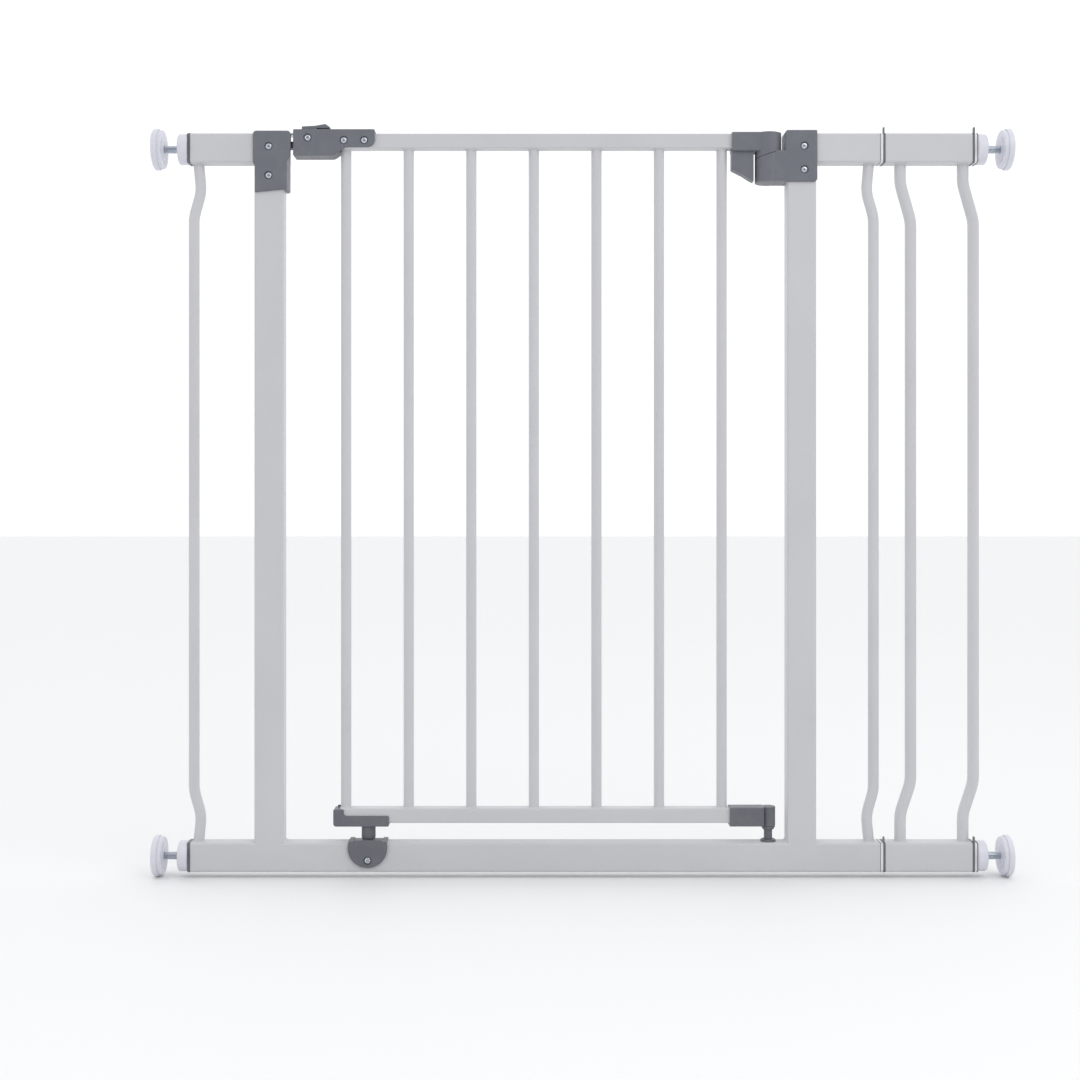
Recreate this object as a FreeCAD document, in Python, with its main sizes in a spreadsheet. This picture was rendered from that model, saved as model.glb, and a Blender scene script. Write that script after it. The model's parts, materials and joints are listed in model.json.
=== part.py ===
import FreeCAD, Part
import math
import os
import Sketcher

# Pressure-fit metal baby gate with a short extension fitted at its right-hand end.
# Millimetres. X runs to the right, Y to the rear and Z up.
# X = 0 is halfway between the walls, Y = 0 is the middle plane of the tubes,
# and Z = 0 is the lowest point of the lower wall cups.

doc = FreeCAD.newDocument("BabyGate")
dims = doc.addObject("Spreadsheet::Sheet", "Dims")
at = doc.addObject("App::VarSet", "At")
nodes = []

sizes = [
    ("wall_to_wall", 875, "between the two walls, as the spindles are set"),
    ("frame_height", 758, "top of the posts"),
    ("opening_width", 512, "clear width between the two posts"),
    ("left_bay", 65, "short tubes left of the left post"),
    ("extension_length", 88.6, "tubes of the extension"),
    # frame tubes
    ("tube_wide", 30, "frame tube, seen from the front"),
    ("tube_deep", 20, "frame tube, front to rear"),
    ("tube_wall", 1.2, "frame tube wall"),
    ("tube_corner", 2.5, "frame tube corner radius"),
    ("bar_wall", 1, "wall of every round bar"),
    ("bent_bar_diameter", 10.9, "bent bar of the main frame"),
    ("bent_bar_left_inset", 2, "left bent bar, in from the tube end"),
    ("bent_bar_right_inset", 5, "right bent bar, in from the tube end"),
    ("bent_bar_bulge", 7.4, "inward bulge near both ends"),
    ("bent_bar_return", 2.6, "how far the bulge comes back at the weld"),
    ("extension_bar_diameter", 11.6, "bar of the extension"),
    ("extension_bar_left_inset", 17, "left bar's weld, in from the tube end"),
    ("extension_bar_right_inset", 7.5, "right bar's weld, in from the tube end"),
    ("extension_bar_step", 10.7, "sideways step of the extension bars"),
    ("bend_radius", 42, "centre-line radius of every bend"),
    # end plugs and the extension joint
    ("plug_flange", 3, "left end plugs"),
    ("thin_flange", 0.5, "right end plugs and nut seats"),
    ("flange_thickness", 2.2, "extension end flanges"),
    ("flange_proud", 0.3, "flanges outside the tube"),
    ("flange_corner", 3, "flange corner radius"),
    ("plug_depth", 12, "plug inside the tube"),
    ("plug_clearance", 0.15, "plug to tube wall"),
    ("joint_gap", 2.6, "joiner collar on each side of the extension"),
    ("collar_inset", 0.4, "joiner collar inside the tube's outline"),
    ("joiner_diameter", 14, "joiner spigot"),
    ("joiner_clearance", 0.05, "joiner in its plugs"),
    ("tab_thickness", 1.1, "finger tab on the extension flanges"),
    ("tab_height", 6, "finger tab above the tube"),
    ("tab_width", 5, "finger tab, front to rear"),
    # wall fixings
    ("cup_diameter", 42, "wall cup"),
    ("cup_thickness", 6, "wall cup"),
    ("cup_recess", 2.4, "recess in the cup for the foot"),
    ("cup_edge", 1.6, "rounding of the cup rim"),
    ("foot_diameter", 39, "swivel foot"),
    ("foot_clearance", 0.2, "foot in its cup"),
    ("foot_stand", 3.8, "foot standing out of its cup"),
    ("foot_ring_diameter", 25, "raised middle of the foot face"),
    ("foot_ring_height", 0.6, "raised middle of the foot face"),
    ("nut_diameter", 31, "adjusting nut"),
    ("nut_thickness", 9.6, "adjusting nut"),
    ("nut_chamfer", 0.8, "adjusting nut"),
    ("spindle_diameter", 8, "threaded spindle"),
    ("spindle_length", 78, "threaded spindle"),
    ("spindle_chamfer", 0.8, "threaded spindle ends"),
    ("spindle_socket", 3, "spindle end inside the foot"),
    ("bare_spindle", 16.1, "spindle seen between nut and foot"),
    ("thread_clearance", 0.08, "spindle in its nut"),
    ("guide_clearance", 0.4, "spindle in the plugs"),
    # leaf
    ("leaf_rail", 15, "square rails of the leaf"),
    ("leaf_rail_wall", 1.2, "square rails of the leaf"),
    ("leaf_rail_corner", 1.5, "square rails of the leaf"),
    ("leaf_gap", 19.5, "under the leaf's bottom rail"),
    ("leaf_end_inset", 57.5, "leaf rails, in from the left post"),
    ("leaf_hinge_inset", 24.5, "leaf rails, short of the hinge axis"),
    ("leaf_bar_diameter", 10.6, "upright bars of the leaf"),
    ("first_bar_inset", 62.5, "first bar from the left post"),
    ("last_bar_inset", 47.5, "last bar from the hinge axis"),
    ("hinge_setback", 18, "hinge axis from the right post"),
    # shells round the post tops
    ("shell_wall", 2.5, "front and rear plates of both caps"),
    ("cap_low", 58, "both caps below the post tops"),
    ("cap_lid", 2, "latch cap above the post"),
    ("cap_face", 7.2, "latch cap beyond the post, at its latch face"),
    ("cap_cheek", 3.8, "latch cap beyond the post, lower down"),
    ("cap_corner", 3.5, "latch cap's top corner"),
    ("cap_over_stub", 1, "latch cap beyond the post, over the short tube"),
    ("cap_slant", 3.2, "slant of the latch cap's lower edge"),
    ("small_corner", 1.5, "small corners of the mouldings"),
    ("rim_round", 0.9, "rounded rims of the mouldings"),
    ("cap_rim", 1.5, "rounded rims of both caps"),
    ("seat_depth", 6, "latch seat in the cap"),
    ("seat_front", 7, "front wall of the latch seat, from the middle plane"),
    ("latch_screw_x", 15, "cap screws from the post's left face"),
    ("latch_screw_high", 14, "upper cap screw below the post top"),
    ("latch_screw_low", 43.5, "lower cap screw below the post top"),
    ("hinge_screw_x", 17.3, "hinge cap screws from the post's left face"),
    ("hinge_screw_high", 13.5, "upper hinge cap screw below the post top"),
    ("hinge_screw_low", 37.5, "lower hinge cap screw below the post top"),
    # screws
    ("screw_head", 6.7, "head diameter"),
    ("screw_head_thickness", 1.3, "head"),
    ("screw_sink", 1.5, "counterbore depth"),
    ("screw_bore", 8.5, "counterbore diameter"),
    ("screw_shank", 3, "shank diameter"),
    ("screw_room", 0.2, "radial room for the shank"),
    ("recess_wide", 0.9, "cross recess"),
    ("recess_long", 4, "cross recess"),
    ("recess_deep", 0.8, "cross recess"),
    ("catch_screw_shank", 7.5, "shank of the catch screw"),
    # hinge
    ("hinge_cap_left", 2.2, "hinge cap beyond the post, towards the leaf"),
    ("hinge_cap_right", 0.6, "hinge cap beyond the post, on the far side"),
    ("hinge_cap_lid", 2.7, "hinge cap above the post"),
    ("hinge_cap_low", 49.8, "hinge cap below the post top"),
    ("hinge_cap_corner", 3.5, "hinge cap corners"),
    ("barrel_radius", 13.4, "both hinge barrels"),
    ("barrel_low", 49.4, "fixed barrel's underside below the post top"),
    ("barrel_top", 0.9, "leaf barrel above the post top"),
    ("cam_level", 21.5, "middle of the cam faces below the post top"),
    ("cam_angle", 17.7, "slope of the cam faces, degrees"),
    ("cam_gap", 0.5, "between the two cam faces"),
    ("web_height", 31.4, "web from the fixed barrel to its cap"),
    ("barrel_room", 0.4, "radial room round the turning barrel"),
    ("pin_diameter", 8, "upper hinge pin"),
    ("pin_clearance", 0.07, "both hinge pins in their bores"),
    ("pin_length", 38, "upper hinge pin"),
    ("pin_low", 44, "upper hinge pin's end below the post top"),
    ("pin_room", 4, "bore beyond the upper pin's top end"),
    ("pin_chamfer", 0.8, "ends of both hinge pins"),
    ("sleeve_left", 37.7, "hinge sleeve, from the hinge axis"),
    ("sleeve_deep", 21, "hinge sleeve, front to rear"),
    ("sleeve_proud", 1.2, "hinge sleeve above the leaf rail"),
    ("sleeve_under", 3, "hinge sleeve below the leaf rail"),
    ("skirt_right", 15.5, "skirt's inner edge, from the hinge axis"),
    ("skirt_left_drop", 21, "skirt below the leaf rail, at its outer edge"),
    ("skirt_right_drop", 33.2, "skirt below the leaf rail, at its inner edge"),
    ("skirt_deep", 14, "skirt, front to rear"),
    ("rail_fit", 0.1, "leaf rails in their mouldings"),
    # lower pivot
    ("pivot_diameter", 8.4, "lower pivot pin"),
    ("pivot_height", 33.5, "lower pivot pin above the bottom rail"),
    ("pivot_flange", 15.6, "pivot pin's flange"),
    ("pivot_flange_height", 2.2, "pivot pin's flange"),
    ("pivot_tail", 6, "riveted tail, diameter and depth"),
    ("bush_wall", 1.2, "hinge bush"),
    ("bush_nose", 4, "tapered collar under the bracket"),
    ("bush_collar", 14, "tapered collar, its widest diameter"),
    ("boss_diameter", 14.6, "round end of the pivot bracket"),
    ("boss_lid", 1.4, "closed top of the pivot bracket"),
    ("pivot_bracket_left", 40, "pivot bracket, from the hinge axis"),
    ("pivot_bracket_right", 5.4, "square part of the bracket, short of the axis"),
    ("bracket_under", 3.3, "both lower brackets below the leaf rail"),
    ("bracket_over", 1, "pivot bracket above the leaf rail"),
    ("bracket_deep", 18.6, "both lower brackets, front to rear"),
    # locking bracket and catch
    ("lock_bracket_end", 7.2, "locking bracket beyond the rail's end"),
    ("lock_bracket_length", 56.7, "locking bracket"),
    ("lock_bracket_lip", 7.5, "locking bracket up the rail's face"),
    ("lock_post", 10.7, "upright part of the locking bracket"),
    ("lock_post_over", 0.8, "upright part short of the rail's top"),
    ("lock_corner", 3, "corners of the locking bracket"),
    ("hook_tab", 4, "small rear tab on the locking bracket"),
    ("hook_tab_height", 1.7, "small rear tab"),
    ("peg_diameter", 14.3, "locking peg"),
    ("peg_inset", 85.5, "peg axis from the left post"),
    ("peg_gap", 1.4, "peg's end above the bottom rail"),
    ("peg_round", 2.6, "peg's lower edge"),
    ("catch_radius", 20, "half-round plate of the catch"),
    ("catch_drop", 5, "centre of the half-round below the rail's top"),
    ("catch_plate", 2.5, "front plate of the catch"),
    ("catch_pad", 0.8, "pad on the rail's top"),
    ("ridge_width", 4.6, "side ridges of the catch"),
    ("ridge_height", 1.8, "side ridges above the rail"),
    ("lip_height", 3, "front lip above the rail"),
    ("lip_thick", 3.6, "front lip"),
    ("catch_screw_drop", 17.8, "catch screw below the rail's top"),
    # handle and latch
    ("handle_gap", 2.4, "between latch cap and handle"),
    ("handle_length", 83.1, "handle"),
    ("handle_deep", 21, "handle, front to rear"),
    ("handle_over", 3.8, "handle above the leaf rail"),
    ("housing_drop", 8.3, "latch housing below the leaf rail"),
    ("housing_length", 40.4, "flat underside of the latch housing"),
    ("housing_rise", 13, "sloping underside of the latch housing"),
    ("grip_rise", 0.7, "handle's underside above the leaf rail's"),
    ("grip_corner", 8, "large corners of the handle"),
    ("cavity_wall", 3, "walls of the latch housing"),
    ("hook_height", 6.6, "latch hook"),
    ("hook_rise", 0.6, "latch hook above the leaf rail's underside"),
    ("hook_deep", 10, "nose of the latch hook"),
    ("hook_reach", 4.5, "latch hook inside its seat"),
    ("hook_root", 8.4, "root of the latch hook inside the handle"),
    ("part_clearance", 0.1, "fixed parts in the mouldings"),
    ("bolt_deep", 12, "latch bolt plate"),
    ("bolt_plate", 1.6, "latch bolt plate thickness"),
    ("bolt_level", 13.8, "bolt plate above the leaf rail's underside"),
    ("bolt_reach", 3.2, "bolt plate inside the seat"),
    ("bolt_length", 38, "latch bolt plate"),
    ("bolt_tail", 8.8, "down-turned tail of the bolt"),
    ("bolt_tail_deep", 8, "down-turned tail of the bolt"),
    ("bolt_travel", 8, "travel of the release button"),
    ("slide_clearance", 0.3, "latch bolt and button in the handle"),
    ("button_left", 8.7, "button from the handle's left end"),
    ("button_length", 15, "foot of the button"),
    ("button_height", 2.9, "foot of the button"),
    ("button_wing", 28.4, "button with its wing"),
    ("button_peak", 5.4, "peak of the wing above the handle"),
    ("button_deep", 16, "button, front to rear"),
    ("stem_deep", 4, "button stem"),
    ("stem_length", 6, "button stem"),
    ("spring_diameter", 5, "return spring, coil centre line"),
    ("spring_wire", 0.7, "return spring wire"),
    ("spring_turns", 6, "return spring"),
    ("handle_screw_1", 14.8, "first handle screw from the handle's left end"),
    ("handle_screw_2", 51.5, "second handle screw"),
    ("handle_screw_3", 72.3, "third handle screw"),
    ("handle_screw_rise", 10.2, "first screw above the leaf rail's underside"),
    ("handle_screw_low", 7.6, "other screws above the leaf rail's underside"),
]

# Places worked out from the sizes: X places first, then heights.
places = [
    ("nut_face", "Dims.wall_to_wall / 2 - Dims.cup_thickness - Dims.foot_stand - Dims.bare_spindle"),
    ("nut_seat", "nut_face - Dims.nut_thickness"),
    ("gate_left", "Dims.plug_flange - nut_seat"),
    ("left_post", "gate_left + Dims.left_bay"),
    ("opening_left", "left_post + Dims.tube_wide"),
    ("right_post", "opening_left + Dims.opening_width"),
    ("right_post_end", "right_post + Dims.tube_wide"),
    ("extension_right", "nut_seat - Dims.thin_flange - Dims.joint_gap - Dims.flange_thickness"),
    ("extension_left", "extension_right - Dims.extension_length"),
    ("gate_right", "extension_left - Dims.flange_thickness - Dims.joint_gap - Dims.thin_flange"),
    ("hinge_axis", "right_post - Dims.hinge_setback"),
    ("leaf_left", "opening_left + Dims.leaf_end_inset"),
    ("leaf_right", "hinge_axis - Dims.leaf_hinge_inset"),
    ("first_bar", "opening_left + Dims.first_bar_inset"),
    ("bar_pitch", "(hinge_axis - Dims.last_bar_inset - first_bar) / 6"),
    ("latch_face", "opening_left + Dims.cap_face"),
    ("handle_left", "latch_face + Dims.handle_gap"),
    ("peg_axis", "opening_left + Dims.peg_inset"),
    ("low_axis", "Dims.cup_diameter / 2"),
    ("rail_low", "low_axis - Dims.tube_wide / 2"),
    ("rail_top", "low_axis + Dims.tube_wide / 2"),
    ("high_axis", "Dims.frame_height - Dims.tube_wide / 2"),
    ("stub_low", "Dims.frame_height - Dims.tube_wide"),
    ("leaf_low", "rail_top + Dims.leaf_gap"),
    ("leaf_high", "Dims.frame_height - Dims.leaf_rail"),
    ("handle_top", "Dims.frame_height + Dims.handle_over"),
    ("bracket_low", "leaf_low - Dims.bracket_under"),
    ("bush_radius", "Dims.pivot_diameter / 2 + Dims.pin_clearance + Dims.bush_wall"),
]

for row, (name, value, note) in enumerate(sizes, start=1):
    dims.set(f"A{row}", name)
    dims.set(f"B{row}", str(value))
    dims.set(f"C{row}", note)
    dims.setAlias(f"B{row}", name)
doc.recompute()
for name, formula in places:
    at.addProperty("App::PropertyFloat", name)
    at.setExpression(name, formula)
doc.recompute()


def bind(thing, **formulas):
    for prop, formula in formulas.items():
        thing.setExpression(prop.replace("_", "."), formula)


def put(thing, x, y, z):
    thing.setExpression("Placement.Base.x", x)
    thing.setExpression("Placement.Base.y", y)
    thing.setExpression("Placement.Base.z", z)


turns = {
    "Z": FreeCAD.Rotation(),
    "X": FreeCAD.Rotation(FreeCAD.Vector(0, 1, 0), 90),
    "-X": FreeCAD.Rotation(FreeCAD.Vector(0, 1, 0), -90),
    "Y": FreeCAD.Rotation(FreeCAD.Vector(1, 0, 0), -90),
}


def node(name, thing):
    thing.Label = name
    nodes.append(thing)
    return thing


def block(name, x, y, z, length, width, height):
    box = doc.addObject("Part::Box", name)
    bind(box, Length=length, Width=width, Height=height)
    put(box, x, y, z)
    return box


def middle_block(name, x, z, length, depth, height):
    # a block centred on the middle plane of the gate
    return block(name, x, f"-({depth}) / 2", z, length, depth, height)


def rod(name, x, y, z, radius, length, axis="Z"):
    cylinder = doc.addObject("Part::Cylinder", name)
    cylinder.Placement.Rotation = turns[axis]
    bind(cylinder, Radius=radius, Height=length)
    put(cylinder, x, y, z)
    return cylinder


def fuse(name, *parts):
    union = doc.addObject("Part::MultiFuse", name)
    union.Shapes = list(parts)
    union.Refine = True
    return union


def cut(name, base, *tools):
    result = doc.addObject("Part::Cut", name)
    result.Base = base
    result.Tool = tools[0] if len(tools) == 1 else fuse(name + "_tools", *tools)
    result.Refine = True
    return result


def common(name, base, tool):
    result = doc.addObject("Part::Common", name)
    result.Base = base
    result.Tool = tool
    result.Refine = True
    return result


def group(name, *parts):
    compound = doc.addObject("Part::Compound", name)
    compound.Links = list(parts)
    return compound


def along(edge, axis):
    # true for a straight edge that runs along the axis
    if not isinstance(edge.Curve, Part.Line):
        return False
    return abs(edge.tangentAt(edge.FirstParameter).dot(axis)) > 0.999


axes = {"X": FreeCAD.Vector(1, 0, 0), "Y": FreeCAD.Vector(0, 1, 0), "Z": FreeCAD.Vector(0, 0, 1)}


def round_block(name, base, axis, radius):
    # rounds the four edges of a block that run along the axis
    doc.recompute()
    fillet = doc.addObject("Part::Fillet", name)
    fillet.Base = base
    size = dims.get(radius)
    fillet.Edges = [
        (index, size, size)
        for index, edge in enumerate(base.Shape.Edges, start=1)
        if along(edge, axes[axis])
    ]
    return fillet


def tube(name, start, size, axis, wall, corner):
    # a rectangular tube; start and size are X, Y, Z formulas and axis is its long direction
    outer = block(name + "_outer", *start, *size)
    skin = round_block(name + "_skin", outer, axis, corner)
    inner_start = list(start)
    inner_size = list(size)
    for index, letter in enumerate("XYZ"):
        if letter == axis:
            continue
        inner_start[index] = f"({start[index]}) + Dims.{wall}"
        inner_size[index] = f"({size[index]}) - 2 * Dims.{wall}"
    inner = block(name + "_inner", *inner_start, *inner_size)
    return cut(name, skin, inner)


def frame_tube(name, x, z, length, upright=False):
    deep = "Dims.tube_deep"
    size = ("Dims.tube_wide", deep, length) if upright else (length, deep, "Dims.tube_wide")
    axis = "Z" if upright else "X"
    return tube(name, (x, "-Dims.tube_deep / 2", z), size, axis, "tube_wall", "tube_corner")


def plane_of(body, role):
    return [item for item in body.Origin.OriginFeatures if item.Role == role][0]


def outline(body, name, corners):
    # a closed outline in the body's XZ plane, every corner tied to two formulas
    sketch = body.newObject("Sketcher::SketchObject", name)
    sketch.AttachmentSupport = (plane_of(body, "XZ_Plane"), [""])
    sketch.MapMode = "FlatFace"
    count = len(corners)
    start = []
    for index in range(count):
        angle = 2 * math.pi * index / count
        start.append(FreeCAD.Vector(100 * math.cos(angle), 100 * math.sin(angle), 0))
    for index in range(count):
        sketch.addGeometry(Part.LineSegment(start[index], start[(index + 1) % count]))
    for index in range(count):
        sketch.addConstraint(Sketcher.Constraint("Coincident", index, 2, (index + 1) % count, 1))
    for index, (across, up) in enumerate(corners):
        ties = (("DistanceX", start[index].x, across), ("DistanceY", start[index].y, up))
        for kind, place, formula in ties:
            tie = sketch.addConstraint(Sketcher.Constraint(kind, -1, 1, index, 1, place))
            sketch.setExpression(f"Constraints[{tie}]", formula)
    doc.recompute()
    return sketch


def moulding(name, corners, depth, rounding, rim=None):
    # an outline padded to both sides of the middle plane; rounding maps a radius to its corners
    body = doc.addObject("PartDesign::Body", name)
    sketch = outline(body, name + "_outline", corners)
    pad = body.newObject("PartDesign::Pad", name + "_pad")
    pad.Profile = sketch
    pad.Midplane = True
    bind(pad, Length=depth)
    doc.recompute()
    last = pad
    for radius, which in rounding.items():
        spots = [sketch.Geometry[index].StartPoint for index in which]
        picked = []
        for index, edge in enumerate(last.Shape.Edges, start=1):
            if not along(edge, axes["Y"]):
                continue
            foot = edge.Vertexes[0].Point
            if any(math.hypot(foot.x - spot.x, foot.z - spot.y) < 0.01 for spot in spots):
                picked.append(f"Edge{index}")
        fillet = body.newObject("PartDesign::Fillet", f"{name}_{radius}")
        fillet.Base = (last, picked)
        bind(fillet, Radius=f"Dims.{radius}")
        doc.recompute()
        last = fillet
    if rim:
        reach = last.Shape.BoundBox.YMax
        picked = [
            f"Edge{index}"
            for index, edge in enumerate(last.Shape.Edges, start=1)
            if all(abs(abs(vertex.Y) - reach) < 0.001 for vertex in edge.Vertexes)
            and abs(abs(edge.CenterOfMass.y) - reach) < 0.001
        ]
        fillet = body.newObject("PartDesign::Fillet", name + "_rim")
        fillet.Base = (last, picked)
        bind(fillet, Radius=f"Dims.{rim}")
        doc.recompute()
    return body


def turned(name, profile, x, y, z, axis="Z"):
    # a profile of (radius, length) formulas turned about its own axis
    body = doc.addObject("PartDesign::Body", name)
    sketch = outline(body, name + "_profile", profile)
    revolution = body.newObject("PartDesign::Revolution", name + "_turn")
    revolution.Profile = sketch
    revolution.ReferenceAxis = (sketch, ["V_Axis"])
    revolution.Angle = 360
    body.Placement.Rotation = turns[axis]
    put(body, x, y, z)
    doc.recompute()
    return body


def screw(name, x, front, z, reach):
    # head just under the surface at Y = front, shank reaching the given length behind the head
    sink = f"{front} + Dims.screw_sink"
    head = rod(name + "_head", x, f"{sink} - Dims.screw_head_thickness", z,
               "Dims.screw_head / 2", "Dims.screw_head_thickness", "Y")
    shank = rod(name + "_shank", x, sink, z, "Dims.screw_shank / 2", reach, "Y")
    top = f"{sink} - Dims.screw_head_thickness"
    level = block(name + "_level", f"{x} - Dims.recess_long / 2", top, f"{z} - Dims.recess_wide / 2",
                  "Dims.recess_long", "Dims.recess_deep", "Dims.recess_wide")
    upright = block(name + "_upright", f"{x} - Dims.recess_wide / 2", top, f"{z} - Dims.recess_long / 2",
                    "Dims.recess_wide", "Dims.recess_deep", "Dims.recess_long")
    return cut(name, fuse(name + "_blank", head, shank), level, upright)


def screw_way(name, x, front, z, reach):
    # the counterbore and the shank's hole, from Y = front to the shank's end
    bore = rod(name + "_bore", x, front, z, "Dims.screw_bore / 2", "Dims.screw_sink", "Y")
    hole = rod(name + "_hole", x, front, z, "Dims.screw_shank / 2 + Dims.screw_room",
               f"Dims.screw_sink + {reach} + Dims.screw_room", "Y")
    return fuse(name, bore, hole)


def bent_path(points, radius):
    # straight runs through the points, joined by tangent arcs
    edges = []
    start = points[0]
    for before, corner, after in zip(points, points[1:], points[2:]):
        arriving = (corner - before).normalize()
        leaving = (after - corner).normalize()
        turn = arriving.getAngle(leaving)
        reach = radius * math.tan(turn / 2)
        first = corner - arriving * reach
        last = corner + leaving * reach
        inward = (leaving - arriving).normalize()
        centre = corner + inward * (radius / math.cos(turn / 2))
        middle = centre - inward * radius
        edges.append(Part.LineSegment(start, first).toShape())
        edges.append(Part.Arc(first, middle, last).toShape())
        start = last
    edges.append(Part.LineSegment(start, points[-1]).toShape())
    return Part.Wire(edges)


def bent_bar(name, points, diameter):
    # a round tube bent in the middle plane, cut off level at the tubes it is welded to
    beyond = 4
    ends = [FreeCAD.Vector(x, 0, z) for x, z in points]
    ends[0] = ends[0] + (ends[0] - ends[1]).normalize() * beyond
    ends[-1] = ends[-1] + (ends[-1] - ends[-2]).normalize() * beyond
    path = bent_path(ends, dims.get("bend_radius"))
    along_start = (ends[1] - ends[0]).normalize()
    solids = []
    for radius in (diameter / 2, diameter / 2 - dims.get("bar_wall")):
        ring = Part.Wire([Part.makeCircle(radius, ends[0], along_start)])
        solids.append(path.makePipeShell([ring], True, False))
    corner = FreeCAD.Vector(points[0][0] - 100, -25, at.rail_top)
    room = Part.makeBox(200, 50, at.stub_low - at.rail_top, corner)
    feature = doc.addObject("Part::Feature", name)
    feature.Shape = solids[0].cut(solids[1]).common(room).Solids[0]
    return feature


# Frame tubes, all welded together

deep_half = "Dims.tube_deep / 2"
through = f"-{deep_half} - 1"
through_length = "Dims.tube_deep + 2"


def post_hole(name, x, z):
    # a screw hole through both walls of a post or rail
    return rod(name, x, through, z, "Dims.screw_shank / 2 + Dims.screw_room", through_length, "Y")


latch_screw_x = "(At.left_post + Dims.latch_screw_x)"
latch_screw_z = [f"(Dims.frame_height - Dims.latch_screw_{level})" for level in ("high", "low")]
hinge_screw_x = "(At.right_post + Dims.hinge_screw_x)"
hinge_screw_z = [f"(Dims.frame_height - Dims.hinge_screw_{level})" for level in ("high", "low")]
post_low = "At.rail_top - Dims.tube_corner"
post_length = f"Dims.frame_height - ({post_low})"

rail_blank = frame_tube("bottom_rail_blank", "At.gate_left", "At.rail_low", "At.gate_right - At.gate_left")
pivot_hole = rod("pivot_hole", "At.hinge_axis", "0", "At.rail_top - 2 * Dims.tube_wall",
                 "Dims.pivot_tail / 2 + Dims.part_clearance", "3 * Dims.tube_wall")
catch_hole = rod("catch_hole", "At.peg_axis", through, "At.rail_top - Dims.catch_screw_drop",
                 "Dims.screw_shank / 2 + Dims.screw_room", deep_half, "Y")
node("bottom_rail", cut("bottom_rail", rail_blank, pivot_hole, catch_hole))
# the posts' lower ends are cut to the rail's rounded edges, where they are welded on
rail_skin = doc.getObject("bottom_rail_blank_skin")

left_blank = frame_tube("left_post_blank", "At.left_post", post_low, post_length, upright=True)
left_holes = [post_hole(f"left_hole_{i}", latch_screw_x, z) for i, z in enumerate(latch_screw_z, 1)]
node("left_post", cut("left_post_tube", left_blank, rail_skin, *left_holes))
right_blank = frame_tube("right_post_blank", "At.right_post", post_low, post_length, upright=True)
right_holes = [post_hole(f"right_hole_{i}", hinge_screw_x, z) for i, z in enumerate(hinge_screw_z, 1)]
node("right_post", cut("right_post_tube", right_blank, rail_skin, *right_holes))

node("left_top_stub", frame_tube("left_top_stub", "At.gate_left", "At.stub_low", "Dims.left_bay"))
node("right_top_stub", frame_tube("right_top_stub", "At.right_post_end", "At.stub_low",
                                  "At.gate_right - At.right_post_end"))
node("extension_top_tube", frame_tube("extension_top_tube", "At.extension_left", "At.stub_low",
                                      "Dims.extension_length"))
node("extension_bottom_tube", frame_tube("extension_bottom_tube", "At.extension_left", "At.rail_low",
                                         "Dims.extension_length"))

# Bent bars of the side bays and the extension

bulge = dims.get("bent_bar_bulge")
back = dims.get("bent_bar_return")
step = dims.get("extension_bar_step")
low = at.rail_top
high = at.stub_low


def bay_bar(name, straight, inward):
    # straight for most of its height, with a bulge towards the gate near each end
    crest = straight + inward * bulge
    weld = crest - inward * back
    points = [(weld, high), (crest, high - 28), (straight, high - 54),
              (straight, low + 52), (crest, low + 26), (weld, low)]
    return bent_bar(name, points, dims.get("bent_bar_diameter"))


def extension_bar(name, weld):
    # welded to the left of its straight run at both ends
    straight = weld + step
    points = [(weld, high), (weld, high - 20), (straight, high - 58),
              (straight, low + 60), (weld, low + 28), (weld, low)]
    return bent_bar(name, points, dims.get("extension_bar_diameter"))


node("left_bent_bar", bay_bar("left_bent_bar", at.gate_left + dims.get("bent_bar_left_inset"), 1))
node("right_bent_bar", bay_bar("right_bent_bar", at.gate_right - dims.get("bent_bar_right_inset"), -1))
node("extension_left_bar", extension_bar(
    "extension_left_bar", at.extension_left + dims.get("extension_bar_left_inset")))
node("extension_right_bar", extension_bar(
    "extension_right_bar", at.extension_right - dims.get("extension_bar_right_inset")))

# Plastic end plugs, extension flanges and joiners

levels = {"top": "At.high_axis", "bottom": "At.low_axis"}
guide_radius = "Dims.spindle_diameter / 2 + Dims.guide_clearance"
joiner_bore = "Dims.joiner_diameter / 2 + Dims.joiner_clearance"


def flange(name, x, thickness, axis_z):
    plate = middle_block(name + "_plate", x, f"{axis_z} - Dims.tube_wide / 2 - Dims.flange_proud", thickness,
                         "Dims.tube_deep + 2 * Dims.flange_proud", "Dims.tube_wide + 2 * Dims.flange_proud")
    return round_block(name + "_rounded", plate, "X", "flange_corner")


def spigot(name, x, axis_z):
    inside = "(Dims.tube_wall + Dims.plug_clearance)"
    return middle_block(name, x, f"{axis_z} - Dims.tube_wide / 2 + {inside}", "Dims.plug_depth",
                        f"Dims.tube_deep - 2 * {inside}", f"Dims.tube_wide - 2 * {inside}")


def plug(name, flange_x, thickness, spigot_x, axis_z, bore, extra=()):
    body = fuse(name + "_body", flange(name + "_flange", flange_x, thickness, axis_z),
                spigot(name + "_spigot", spigot_x, axis_z), *extra)
    hole = rod(name + "_hole", f"{flange_x} - 30", "0", axis_z, bore, "60", "X")
    return cut(name, body, hole)


def collar(name, x, axis_z):
    # the part of a joiner that shows as a thin layer between two tubes
    underside = f"{axis_z} - Dims.tube_wide / 2 + Dims.collar_inset"
    plate = middle_block(name + "_plate", x, underside, "Dims.joint_gap",
                         "Dims.tube_deep - 2 * Dims.collar_inset", "Dims.tube_wide - 2 * Dims.collar_inset")
    return round_block(name, plate, "X", "tube_corner")


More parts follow.
